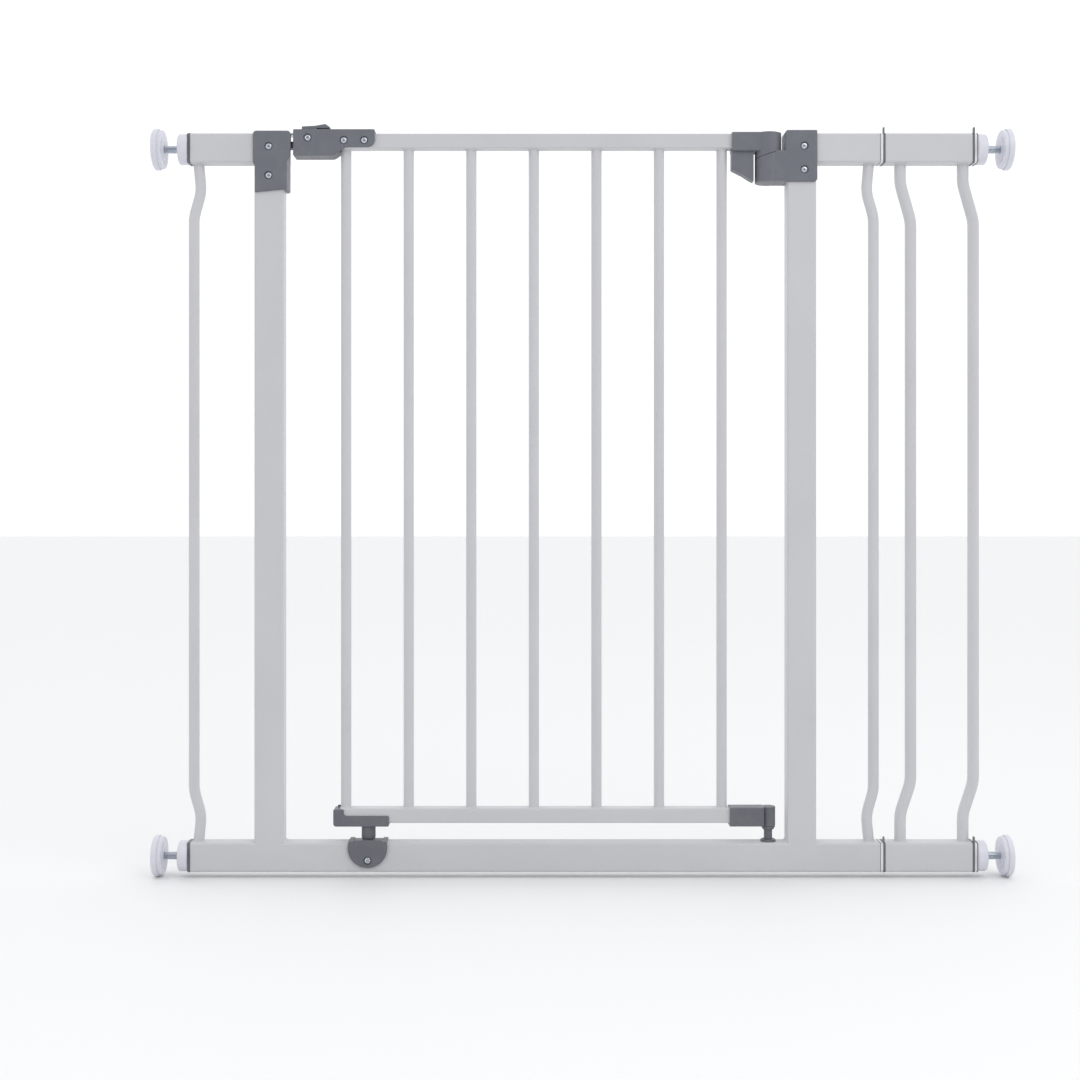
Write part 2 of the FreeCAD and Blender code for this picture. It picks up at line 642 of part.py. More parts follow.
plugs = []
flanges = []
joiners = []
for level, axis_z in levels.items():
    plugs.append(plug(f"left_plug_{level}", "At.gate_left - Dims.plug_flange", "Dims.plug_flange",
                      "At.gate_left", axis_z, guide_radius))
    plugs.append(plug(f"right_plug_{level}", "At.gate_right", "Dims.thin_flange",
                      "At.gate_right - Dims.plug_depth", axis_z, joiner_bore))
    seat = flange(f"nut_seat_{level}", "At.nut_seat - Dims.thin_flange", "Dims.thin_flange", axis_z)
    seat_hole = rod(f"nut_seat_hole_{level}", "At.nut_seat - 5", "0", axis_z, guide_radius, "10", "X")
    plugs.append(cut(f"nut_seat_cut_{level}", seat, seat_hole))
    outer = {
        "left": ("At.extension_left - Dims.flange_thickness", "At.extension_left",
                 "At.extension_left - Dims.flange_thickness"),
        "right": ("At.extension_right", "At.extension_right - Dims.plug_depth",
                  "At.extension_right + Dims.flange_thickness - Dims.tab_thickness"),
    }
    for side, (flange_x, spigot_x, tab_x) in outer.items():
        name = f"extension_{side}_{level}"
        tab = block(name + "_tab", tab_x, f"-{deep_half} - Dims.flange_proud", f"{axis_z} + 8",
                    "Dims.tab_thickness", "Dims.tab_width", "Dims.tube_wide / 2 + Dims.tab_height - 8")
        tab_round = round_block(name + "_tab_round", tab, "X", "small_corner")
        flanges.append(plug(name, flange_x, "Dims.flange_thickness", spigot_x, axis_z,
                            joiner_bore, [tab_round]))
    spigots = rod(f"joiner_spigots_{level}", "At.gate_right - Dims.plug_depth", "0", axis_z,
                  "Dims.joiner_diameter / 2", "At.extension_left - At.gate_right + 2 * Dims.plug_depth", "X")
    joiners.append(fuse(f"joiner_{level}", spigots,
                        collar(f"joiner_collar_{level}", "At.gate_right + Dims.thin_flange", axis_z)))
    guide = rod(f"guide_{level}", "At.extension_right - Dims.plug_depth", "0", axis_z,
                "Dims.joiner_diameter / 2", "Dims.plug_depth + Dims.flange_thickness + Dims.joint_gap", "X")
    guide_bore = rod(f"guide_bore_{level}", "At.extension_right - 30", "0", axis_z, guide_radius, "60", "X")
    guide_collar = collar(f"guide_collar_{level}", "At.extension_right + Dims.flange_thickness", axis_z)
    joiners.append(cut(f"guide_cut_{level}", fuse(f"guide_blank_{level}", guide, guide_collar), guide_bore))
node("end_plugs", group("end_plugs", *plugs))
node("extension_flanges", group("extension_flanges", *flanges))
node("extension_joiners", group("extension_joiners", *joiners))

# Four wall fixings: adjusting nut, threaded spindle, swivel foot and wall cup

corners = {
    "upper_left": ("-1", "-X", "At.high_axis"),
    "lower_left": ("-1", "-X", "At.low_axis"),
    "upper_right": ("1", "X", "At.high_axis"),
    "lower_right": ("1", "X", "At.low_axis"),
}
nut_bore = "Dims.spindle_diameter / 2 + Dims.thread_clearance"
foot_length = "(Dims.foot_stand + Dims.cup_recess)"
foot_back = "(Dims.wall_to_wall / 2 - Dims.cup_thickness + Dims.cup_recess)"
for corner, (side, axis, z) in corners.items():
    nut_profile = [
        (nut_bore, "0"), ("Dims.nut_diameter / 2 - Dims.nut_chamfer", "0"),
        ("Dims.nut_diameter / 2", "Dims.nut_chamfer"),
        ("Dims.nut_diameter / 2", "Dims.nut_thickness - Dims.nut_chamfer"),
        ("Dims.nut_diameter / 2 - Dims.nut_chamfer", "Dims.nut_thickness"), (nut_bore, "Dims.nut_thickness"),
    ]
    node(f"nut_{corner}", turned(f"nut_{corner}", nut_profile, f"{side} * At.nut_seat", "0", z, axis))
    edge = "Dims.spindle_diameter / 2"
    spindle_profile = [
        ("0", "0"), (f"{edge} - Dims.spindle_chamfer", "0"), (edge, "Dims.spindle_chamfer"),
        (edge, "Dims.spindle_length - Dims.spindle_chamfer"),
        (f"{edge} - Dims.spindle_chamfer", "Dims.spindle_length"), ("0", "Dims.spindle_length"),
    ]
    spindle_end = f"({foot_back} - {foot_length} + Dims.spindle_socket)"
    node(f"spindle_{corner}", turned(f"spindle_{corner}", spindle_profile,
                                     f"{side} * ({spindle_end} - Dims.spindle_length)", "0", z, axis))
    rim = "Dims.foot_diameter / 2"
    socket = f"{edge} + Dims.part_clearance"
    foot_profile = [
        (socket, "-Dims.foot_ring_height"), ("Dims.foot_ring_diameter / 2", "-Dims.foot_ring_height"),
        ("Dims.foot_ring_diameter / 2", "0"), (f"{rim} - Dims.nut_chamfer", "0"), (rim, "Dims.nut_chamfer"),
        (rim, foot_length), ("0", foot_length), ("0", "Dims.spindle_socket"), (socket, "Dims.spindle_socket"),
    ]
    node(f"foot_{corner}", turned(f"foot_{corner}", foot_profile,
                                  f"{side} * ({foot_back} - {foot_length})", "0", z, axis))
    outside = "Dims.cup_diameter / 2"
    recess = f"{rim} + Dims.foot_clearance"
    cup_profile = [
        ("0", "Dims.cup_recess"), (recess, "Dims.cup_recess"), (recess, "0"),
        (f"{outside} - Dims.cup_edge / 2", "0"),
        (outside, "Dims.cup_edge / 2"), (outside, "Dims.cup_thickness - Dims.cup_edge"),
        (f"{outside} - Dims.cup_edge", "Dims.cup_thickness"), ("0", "Dims.cup_thickness"),
    ]
    node(f"wall_cup_{corner}", turned(f"wall_cup_{corner}", cup_profile,
                                      f"{side} * (Dims.wall_to_wall / 2 - Dims.cup_thickness)", "0", z, axis))

# Half spaces that split the two caps and the handle into front and rear shells

half_size = ("2 * Dims.wall_to_wall", "100", "2 * Dims.frame_height")
front_half = block("front_half", "-Dims.wall_to_wall", "-100", "0", *half_size)
rear_half = block("rear_half", "-Dims.wall_to_wall", "0", "0", *half_size)


def split(name, whole):
    node(f"{name}_front", common(f"{name}_front", whole, front_half))
    node(f"{name}_rear", common(f"{name}_rear", whole, rear_half))


cap_depth = "(Dims.tube_deep + 2 * Dims.shell_wall)"
cap_front = f"-{cap_depth} / 2"
cap_reach = "(Dims.tube_deep + Dims.shell_wall)"

# Latch cap on the left post, with the seat that takes the latch hook

top = "Dims.frame_height + Dims.cap_lid"
cheek = "At.opening_left + Dims.cap_cheek"
over_stub = "At.left_post - Dims.cap_over_stub"
latch_outline = [
    ("At.left_post + 0.8", "Dims.frame_height - Dims.cap_low - 0.8 * Dims.cap_slant"),
    (cheek, "Dims.frame_height - Dims.cap_low + 0.2 * Dims.cap_slant"),
    (cheek, "At.stub_low + 1"), (f"{cheek} + 2", "At.stub_low + 4"), ("At.latch_face", "At.stub_low + 15"),
    ("At.latch_face", top), (over_stub, top), (over_stub, "At.stub_low - 0.5"),
    ("At.left_post + 0.8", "At.stub_low - 4"),
]
latch_block = moulding("latch_cap_block", latch_outline, cap_depth,
                       {"cap_corner": [5, 6], "small_corner": [1]}, "cap_rim")
post_room = middle_block("latch_post_room", "At.left_post - 5", "0", "Dims.tube_wide + 5", "Dims.tube_deep",
                         "Dims.frame_height")
# behind its front wall the latch face is cut back to the cheek, so the hook can swing out to the rear
swing_room = block("latch_swing_room", cheek, "-Dims.seat_front", "At.stub_low", "20", "100", "100")
seat = block("latch_seat", "At.latch_face - Dims.seat_depth", "-Dims.seat_front",
             "At.leaf_high + Dims.hook_rise - Dims.slide_clearance", "Dims.seat_depth + 2", "100", "100")
ways = [screw_way(f"latch_way_{i}", latch_screw_x, cap_front, z, cap_reach)
        for i, z in enumerate(latch_screw_z, 1)]
split("latch_cap", cut("latch_cap_whole", latch_block, post_room, seat, swing_room, *ways))

# Hinge cap on the right post, with the fixed barrel and its cam face

cap_left = "At.right_post - Dims.hinge_cap_left"
cap_right = "At.right_post_end + Dims.hinge_cap_right"
cap_low = "Dims.frame_height - Dims.hinge_cap_low"
cap_high = "Dims.frame_height + Dims.hinge_cap_lid"
hinge_outline = [(cap_left, cap_low), (cap_right, cap_low), (cap_right, cap_high), (cap_left, cap_high)]
hinge_block = moulding("hinge_cap_block", hinge_outline, cap_depth,
                       {"hinge_cap_corner": [1, 3], "small_corner": [0, 2]}, "cap_rim")
barrel_low = "Dims.frame_height - Dims.barrel_low"
cam_level = "Dims.frame_height - Dims.cam_level"


def cam_space(name, level, above):
    # all that lies above, or below, the sloping cam plane through the hinge axis
    space = doc.addObject("Part::Box", name)
    bind(space, Length="200", Width="200", Height="100")
    angle = math.radians(dims.get("cam_angle"))
    slope = FreeCAD.Rotation(FreeCAD.Vector(0, 1, 0), -dims.get("cam_angle"))
    space.Placement.Rotation = slope
    drop = 0 if above else 100
    shift = slope.multVec(FreeCAD.Vector(-100, -100, -drop))
    put(space, f"At.hinge_axis + {shift.x}", str(shift.y), f"{level} + {shift.z}")
    return space


fixed_barrel = rod("fixed_barrel", "At.hinge_axis", "0", barrel_low, "Dims.barrel_radius", "Dims.web_height")
web = middle_block("fixed_web", "At.hinge_axis", barrel_low, "Dims.hinge_setback", cap_depth,
                   "Dims.web_height")
# the turning barrel's room, down to the sloping cam face
turning_room = common("turning_room", rod("turning_rod", "At.hinge_axis", "0", barrel_low,
                                          "Dims.barrel_radius + Dims.barrel_room", "100"),
                      cam_space("above_cam", cam_level, True))
hinge_room = middle_block("hinge_post_room", "At.right_post", "0", "Dims.tube_wide + 20", "Dims.tube_deep",
                          "Dims.frame_height")
pin_low = "Dims.frame_height - Dims.pin_low"
pin_hole = "Dims.pin_diameter / 2 + Dims.pin_clearance"
pin_bore = rod("pin_bore", "At.hinge_axis", "0", f"{pin_low} - 0.5", pin_hole, "60")
hinge_ways = [screw_way(f"hinge_way_{i}", hinge_screw_x, cap_front, z, cap_reach)
              for i, z in enumerate(hinge_screw_z, 1)]
hinge_solid = fuse("hinge_cap_solid", hinge_block, fixed_barrel, web)
split("hinge_cap", cut("hinge_cap_whole", hinge_solid, turning_room, hinge_room, pin_bore, *hinge_ways))

screws = []
for cap, x, heights in (("latch", latch_screw_x, latch_screw_z), ("hinge", hinge_screw_x, hinge_screw_z)):
    for number, z in enumerate(heights, 1):
        screws.append(screw(f"{cap}_screw_{number}", x, cap_front, z, cap_reach))
node("cap_screws", group("cap_screws", *screws))

# Upper hinge pin, lower pivot pin and its bush

pin_edge = "Dims.pin_diameter / 2"
pin_profile = [
    ("0", "0"), (f"{pin_edge} - Dims.pin_chamfer", "0"), (pin_edge, "Dims.pin_chamfer"),
    (pin_edge, "Dims.pin_length - Dims.pin_chamfer"), (f"{pin_edge} - Dims.pin_chamfer", "Dims.pin_length"),
    ("0", "Dims.pin_length"),
]
node("upper_hinge_pin", turned("upper_hinge_pin", pin_profile, "At.hinge_axis", "0", pin_low))

pivot_edge = "Dims.pivot_diameter / 2"
pivot_profile = [
    ("0", "-Dims.pivot_tail"), ("Dims.pivot_tail / 2", "-Dims.pivot_tail"), ("Dims.pivot_tail / 2", "0"),
    ("Dims.pivot_flange / 2", "0"), ("Dims.pivot_flange / 2", "Dims.pivot_flange_height - Dims.pin_chamfer"),
    ("Dims.pivot_flange / 2 - Dims.pin_chamfer", "Dims.pivot_flange_height"),
    (pivot_edge, "Dims.pivot_flange_height"), (pivot_edge, "Dims.pivot_height - Dims.pin_chamfer"),
    (f"{pivot_edge} - Dims.pin_chamfer", "Dims.pivot_height"),
    ("0", "Dims.pivot_height"),
]
node("lower_pivot_pin", turned("lower_pivot_pin", pivot_profile, "At.hinge_axis", "0", "At.rail_top"))

bush_bore = f"{pivot_edge} + Dims.pin_clearance"
bush_top = "(At.rail_top + Dims.pivot_height + 1 - At.bracket_low)"
bush_profile = [
    (bush_bore, "-Dims.bush_nose"), ("At.bush_radius", "-Dims.bush_nose"),
    ("Dims.bush_collar / 2", "-Dims.cam_gap - 0.8"), ("Dims.bush_collar / 2", "-Dims.cam_gap"),
    ("At.bush_radius", "-Dims.cam_gap"), ("At.bush_radius", bush_top), (bush_bore, bush_top),
]
node("hinge_bush", turned("hinge_bush", bush_profile, "At.hinge_axis", "0", "At.bracket_low"))

# Leaf: two square rails and seven round bars

leaf_length = "At.leaf_right - At.leaf_left"
leaf_start = "-Dims.leaf_rail / 2"


def leaf_rail(name, z):
    size = (leaf_length, "Dims.leaf_rail", "Dims.leaf_rail")
    return tube(name, ("At.leaf_left", leaf_start, z), size, "X", "leaf_rail_wall", "leaf_rail_corner")


handle_screw_x = [f"(At.handle_left + Dims.handle_screw_{number})" for number in (1, 2, 3)]
handle_screw_z = [f"(At.leaf_high + Dims.handle_screw_{level})" for level in ("rise", "low", "low")]
rail_holes = [post_hole(f"leaf_hole_{number}", handle_screw_x[number], handle_screw_z[number])
              for number in (1, 2)]
node("leaf_top_rail", cut("leaf_top_rail", leaf_rail("leaf_top_rail_blank", "At.leaf_high"), *rail_holes))
node("leaf_bottom_rail", leaf_rail("leaf_bottom_rail", "At.leaf_low"))
bar_low = "At.leaf_low + Dims.leaf_rail"
for number in range(7):
    x = f"At.first_bar + {number} * At.bar_pitch"
    length = f"At.leaf_high - ({bar_low})"
    outer = rod(f"leaf_bar_outer_{number + 1}", x, "0", bar_low, "Dims.leaf_bar_diameter / 2", length)
    inner = rod(f"leaf_bar_inner_{number + 1}", x, "0", bar_low,
                "Dims.leaf_bar_diameter / 2 - Dims.bar_wall", length)
    node(f"leaf_bar_{number + 1}", cut(f"leaf_bar_{number + 1}", outer, inner))

# Leaf hinge housing: barrel with the moving cam face, sleeve over the rail and skirt

barrel_span = "Dims.cam_level + Dims.barrel_top + 10"
leaf_barrel = cut("leaf_barrel", rod("leaf_barrel_blank", "At.hinge_axis", "0", f"{cam_level} - 10",
                                     "Dims.barrel_radius", barrel_span),
                  cam_space("below_cam", f"{cam_level} + Dims.cam_gap", False))
sleeve_x = "At.hinge_axis - Dims.sleeve_left"
sleeve_low = "At.leaf_high - Dims.sleeve_under"
sleeve_blank = middle_block("sleeve_blank", sleeve_x, sleeve_low, "Dims.sleeve_left", "Dims.sleeve_deep",
                            "Dims.leaf_rail + Dims.sleeve_under + Dims.sleeve_proud")
sleeve = round_block("sleeve", sleeve_blank, "X", "small_corner")
skirt_x = "At.hinge_axis - Dims.skirt_right"
skirt_width = "(Dims.sleeve_left - Dims.skirt_right)"
skirt_fall = "(Dims.skirt_right_drop - Dims.skirt_left_drop)"
skirt_outline = [
    (sleeve_x, "At.leaf_high"), (sleeve_x, "At.leaf_high - Dims.skirt_left_drop"),
    (f"{sleeve_x} + 0.5 * {skirt_width}", f"At.leaf_high - Dims.skirt_left_drop - 0.45 * {skirt_fall}"),
    (f"{sleeve_x} + 0.76 * {skirt_width}", f"At.leaf_high - Dims.skirt_left_drop - 0.77 * {skirt_fall}"),
    (skirt_x, "At.leaf_high - Dims.skirt_right_drop"), (skirt_x, "At.leaf_high"),
]
skirt = moulding("skirt", skirt_outline, "Dims.skirt_deep", {"small_corner": [1], "grip_corner": [2, 3]},
                 "rim_round")
rail_room = middle_block("sleeve_rail_room", f"{sleeve_x} - 1", "At.leaf_high - Dims.rail_fit",
                         "Dims.sleeve_left - Dims.leaf_hinge_inset + 1 + Dims.rail_fit",
                         "Dims.leaf_rail + 2 * Dims.rail_fit", "Dims.leaf_rail + 2 * Dims.rail_fit")
leaf_bore = rod("leaf_bore", "At.hinge_axis", "0", f"{pin_low} - 20", pin_hole,
                "20 + Dims.pin_length + Dims.pin_room")
barrel_room = cut("barrel_room", rod("barrel_room_blank", "At.hinge_axis", "0", f"{cam_level} - 40",
                                     "Dims.barrel_radius", "40"),
                  cam_space("room_cam", f"{cam_level} + Dims.cam_gap", True))
node("leaf_hinge_housing", cut("leaf_hinge_housing", fuse("housing_solid", leaf_barrel, sleeve, skirt),
                               rail_room, leaf_bore, barrel_room))

# Pivot bracket on the leaf's bottom rail

pivot_x = "At.hinge_axis - Dims.pivot_bracket_left"
bracket_height = "(Dims.leaf_rail + Dims.bracket_under + Dims.bracket_over)"
pivot_blank = middle_block("pivot_bracket_blank", pivot_x, "At.bracket_low",
                           "Dims.pivot_bracket_left - Dims.pivot_bracket_right", "Dims.bracket_deep",
                           bracket_height)
pivot_block = round_block("pivot_bracket_block", pivot_blank, "X", "small_corner")
boss = rod("pivot_boss", "At.hinge_axis", "0", "At.bracket_low", "Dims.boss_diameter / 2", bracket_height)
pivot_rail_room = middle_block("pivot_rail_room", f"{pivot_x} - 1", "At.leaf_low - Dims.rail_fit",
                               "Dims.pivot_bracket_left - Dims.leaf_hinge_inset + 1 + Dims.rail_fit",
                               "Dims.leaf_rail + 2 * Dims.rail_fit", "Dims.leaf_rail + 2 * Dims.rail_fit")
bush_room = rod("bush_room", "At.hinge_axis", "0", "At.bracket_low - 1",
                "At.bush_radius + Dims.pin_clearance", f"{bush_top} + 1 + Dims.cam_gap")
node("pivot_bracket", cut("pivot_bracket", fuse("pivot_bracket_solid", pivot_block, boss),
                          pivot_rail_room, bush_room))

# Locking bracket with its peg, and the catch that the peg drops into

lock_x = "At.leaf_left - Dims.lock_bracket_end"
lock_right = f"{lock_x} + Dims.lock_bracket_length"
lock_step = f"{lock_x} + Dims.lock_post"
lock_top = "At.leaf_low + Dims.leaf_rail - Dims.lock_post_over"
lock_ledge = "At.leaf_low + Dims.lock_bracket_lip"
lock_outline = [
    (lock_x, "At.bracket_low"), (lock_right, "At.bracket_low"), (lock_right, lock_ledge),
    (lock_step, lock_ledge), (lock_step, lock_top), (lock_x, lock_top),
]
lock_block = moulding("lock_block", lock_outline, "Dims.bracket_deep",
                      {"lock_corner": [0, 3], "small_corner": [1, 2, 4, 5]}, "rim_round")
lock_tab = block("lock_tab", f"{lock_x} + Dims.lock_corner", "Dims.bracket_deep / 2 - 3", lock_ledge,
                 "Dims.hook_tab", "2", f"{lock_top} - ({lock_ledge}) + Dims.hook_tab_height")
lock_room = middle_block("lock_rail_room", "At.leaf_left - Dims.rail_fit", "At.leaf_low - Dims.rail_fit",
                         "Dims.lock_bracket_length", "Dims.leaf_rail + 2 * Dims.rail_fit",
                         "Dims.leaf_rail + 2 * Dims.rail_fit")
lock_body = cut("locking_bracket_body", lock_block, lock_room)
node("locking_bracket", fuse("locking_bracket", lock_body, lock_tab))

peg_edge = "Dims.peg_diameter / 2"
peg_length = "(At.bracket_low - At.rail_top - Dims.peg_gap)"
peg_profile = [
    ("0", "0"), (f"{peg_edge} - Dims.peg_round", "0"),
    (f"{peg_edge} - 0.3 * Dims.peg_round", "0.3 * Dims.peg_round"),
    (peg_edge, "Dims.peg_round"), (peg_edge, peg_length), ("0", peg_length),
]
node("locking_peg", turned("locking_peg", peg_profile, "At.peg_axis", "0", "At.rail_top + Dims.peg_gap"))

plate_front = f"-{deep_half} - Dims.catch_plate"
disc = rod("catch_disc", "At.peg_axis", plate_front, "At.rail_top - Dims.catch_drop", "Dims.catch_radius",
           "Dims.catch_plate", "Y")
disc_room = block("catch_disc_room", "At.peg_axis - Dims.catch_radius", plate_front, "0",
                  "2 * Dims.catch_radius", "Dims.catch_plate", "At.rail_top")
plate = common("catch_plate", disc, disc_room)
catch_x = "At.peg_axis - Dims.catch_radius"
catch_deep = "Dims.tube_deep + Dims.catch_plate"
# the pad and the ridges narrow with the plate's round outline where it meets the rail's top
pad_x = "At.peg_axis - sqrt(Dims.catch_radius ^ 2 - Dims.catch_drop ^ 2)"
pad_length = "2 * sqrt(Dims.catch_radius ^ 2 - Dims.catch_drop ^ 2)"
pad = block("catch_pad", pad_x, plate_front, "At.rail_top", pad_length, catch_deep, "Dims.catch_pad")
left_ridge = block("left_ridge", pad_x, plate_front, "At.rail_top", "Dims.ridge_width", catch_deep,
                   "Dims.ridge_height")
right_ridge = block("right_ridge", f"{pad_x} + {pad_length} - Dims.ridge_width", plate_front, "At.rail_top",
                    "Dims.ridge_width", catch_deep, "Dims.ridge_height")
lip = block("catch_lip", f"{pad_x} + Dims.ridge_width", plate_front, "At.rail_top",
            f"{pad_length} - 2 * Dims.ridge_width", "Dims.lip_thick", "Dims.lip_height")
catch_screw_z = "(At.rail_top - Dims.catch_screw_drop)"
catch_way = screw_way("catch_way", "At.peg_axis", plate_front, catch_screw_z, "Dims.catch_screw_shank")
catch_solid = fuse("catch_solid", plate, pad, left_ridge, right_ridge, lip)
node("bottom_catch", cut("bottom_catch", catch_solid, catch_way))
catch_reach = "Dims.catch_screw_shank"
node("catch_screw", screw("catch_screw", "At.peg_axis", plate_front, catch_screw_z, catch_reach))

# Handle: front and rear shells round the leaf's top rail and the latch

handle_right = "At.handle_left + Dims.handle_length"
housing_low = "At.leaf_high - Dims.housing_drop"
grip_low = "At.leaf_high + Dims.grip_rise"
slope_x = "At.handle_left + Dims.housing_length"
handle_outline = [
    ("At.handle_left", housing_low), (slope_x, housing_low), (f"{slope_x} + Dims.housing_rise", grip_low),
    (handle_right, grip_low), (handle_right, "At.handle_top"), ("At.handle_left", "At.handle_top"),
]
handle_block = moulding("handle_block", handle_outline, "Dims.handle_deep",
                        {"grip_corner": [1, 2, 3], "small_corner": [0, 4, 5]}, "rim_round")
handle_rail_room = middle_block("handle_rail_room", "At.leaf_left - Dims.rail_fit", "At.leaf_high - 20",
                                "Dims.handle_length", "Dims.leaf_rail + 2 * Dims.rail_fit",
                                "20 + Dims.leaf_rail + Dims.rail_fit")
hook_low = "(At.leaf_high + Dims.hook_rise)"
bolt_low = "(At.leaf_high + Dims.bolt_level)"
bolt_top = f"({bolt_low} + Dims.bolt_plate)"
cavity_x = "(At.handle_left + Dims.cavity_wall)"
cavity_end = "(At.leaf_left - Dims.cavity_wall)"
cavity_low = f"({hook_low} - Dims.part_clearance)"
cavity_high = f"({bolt_top} + Dims.slide_clearance)"
cavity_deep = "(Dims.handle_deep - 2 * Dims.cavity_wall)"
cavity = middle_block("handle_cavity", cavity_x, cavity_low, f"{cavity_end} - {cavity_x}", cavity_deep,
                      f"{cavity_high} - {cavity_low}")
hook_slot = middle_block("hook_slot", "At.handle_left - 1", cavity_low, "Dims.cavity_wall + 2",
                         "Dims.hook_deep + 2 * Dims.part_clearance",
                         "Dims.hook_height + 2 * Dims.part_clearance")
bolt_slot = middle_block("bolt_slot", "At.handle_left - 1", f"{bolt_low} - Dims.slide_clearance",
                         "Dims.cavity_wall + 2", "Dims.bolt_deep + 2 * Dims.slide_clearance",
                         "Dims.bolt_plate + 2 * Dims.slide_clearance")
stem_x = "(At.handle_left + Dims.button_left + (Dims.button_length - Dims.stem_length) / 2)"
stem_slot = middle_block("stem_slot", f"{stem_x} - Dims.slide_clearance", f"{cavity_high} - 1",
                         "Dims.stem_length + Dims.bolt_travel + 2 * Dims.slide_clearance",
                         "Dims.stem_deep + 2 * Dims.slide_clearance", "20")
handle_front_y = "-Dims.handle_deep / 2"
handle_reach = "(Dims.handle_deep - Dims.shell_wall)"
handle_ways = [screw_way(f"handle_way_{number + 1}", handle_screw_x[number], handle_front_y,
                         handle_screw_z[number], handle_reach) for number in range(3)]
split("handle", cut("handle_whole", handle_block, handle_rail_room, cavity, hook_slot, bolt_slot, stem_slot,
                    *handle_ways))
node("handle_screws", group("handle_screws", *[
    screw(f"handle_screw_{number + 1}", handle_screw_x[number], handle_front_y, handle_screw_z[number],
          handle_reach)
    for number in range(3)
]))

# Latch: fixed hook, sliding bolt, release button and return spring

hook_tip = "(At.latch_face - Dims.hook_reach)"
hook_nose = middle_block("hook_nose", hook_tip, hook_low, f"{cavity_x} + 1 - {hook_tip}", "Dims.hook_deep",
                         "Dims.hook_height")
hook_root = middle_block("hook_root", f"{cavity_x} + Dims.part_clearance", hook_low, "Dims.hook_root",
                         f"{cavity_deep} - 2 * Dims.part_clearance", "Dims.hook_height")
node("latch_hook", fuse("latch_hook", hook_nose, hook_root))

bolt_tip = "(At.latch_face - Dims.bolt_reach)"
bolt_end = f"({bolt_tip} + Dims.bolt_length)"
bolt_blade = middle_block("bolt_blade", bolt_tip, bolt_low, "Dims.bolt_length", "Dims.bolt_deep",
                          "Dims.bolt_plate")
bolt_tail = middle_block("bolt_tail", f"{bolt_end} - Dims.bolt_plate", f"{bolt_low} - Dims.bolt_tail",
                         "Dims.bolt_plate", "Dims.bolt_tail_deep", "Dims.bolt_tail + Dims.bolt_plate / 2")
node("latch_bolt", fuse("latch_bolt", bolt_blade, bolt_tail))

button_x = "At.handle_left + Dims.button_left"
button_low = "(At.handle_top + Dims.slide_clearance)"
wing_low = f"{button_low} + 0.45 * Dims.button_height"
button_outline = [
    (button_x, button_low), (f"{button_x} + Dims.button_length", button_low),
    (f"{button_x} + Dims.button_length", wing_low), (f"{button_x} + Dims.button_wing - 0.4", wing_low),
    (f"{button_x} + Dims.button_wing", f"{wing_low} + 1"),
    (f"{button_x} + 0.84 * Dims.button_wing", f"{button_low} + Dims.button_peak"),
    (f"{button_x} + 0.47 * Dims.button_wing", f"{button_low} + Dims.button_height + 0.6"),
    (button_x, f"{button_low} + Dims.button_height"),
]
button_cap = moulding("button_cap", button_outline, "Dims.button_deep", {"rim_round": [7]})
stem = middle_block("button_stem", stem_x, bolt_top, "Dims.stem_length", "Dims.stem_deep",
                    f"{button_low} + 0.5 - {bolt_top}")
node("release_button", fuse("release_button", button_cap, stem))

doc.recompute()
tail_box = doc.getObject("bolt_tail").Shape.BoundBox
cavity_box = doc.getObject("handle_cavity").Shape.BoundBox
wire = dims.get("spring_wire")
coil = dims.get("spring_diameter") / 2
room = 0.1
spring_length = cavity_box.XMax - tail_box.XMax - wire - 2 * room
helix = Part.makeHelix(spring_length / dims.get("spring_turns"), spring_length, coil)
section = Part.Wire([Part.makeCircle(wire / 2, FreeCAD.Vector(coil, 0, 0), FreeCAD.Vector(0, 1, 0))])
spring = doc.addObject("Part::Feature", "return_spring")
spring.Shape = Part.Wire(helix.Edges).makePipeShell([section], True, True)
spring.Placement = FreeCAD.Placement(
    FreeCAD.Vector(tail_box.XMax + room + wire / 2, 0, tail_box.ZMin + coil + wire), turns["X"])
node("return_spring", spring)

# Every feature is checked before anything is written

doc.recompute()
for item in doc.Objects:
    if "Invalid" in item.State or "Error" in item.State:
        raise RuntimeError(f"{item.Name} failed: {item.State}")
os.makedirs("parts", exist_ok=True)
for item in nodes:
    if item.Shape.isNull() or not item.Shape.isValid():
        raise RuntimeError(f"{item.Label} has no valid shape")
    if not item.Shape.Solids:
        raise RuntimeError(f"{item.Label} has no solid")
for item in nodes:
    item.Shape.exportStep(f"parts/{item.Label}.step")
    print(f"{item.Label}: {len(item.Shape.Solids)} solid(s), {item.Shape.Volume:.0f} mm3")
print(len(nodes), "sub-parts")
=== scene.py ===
import json
import math

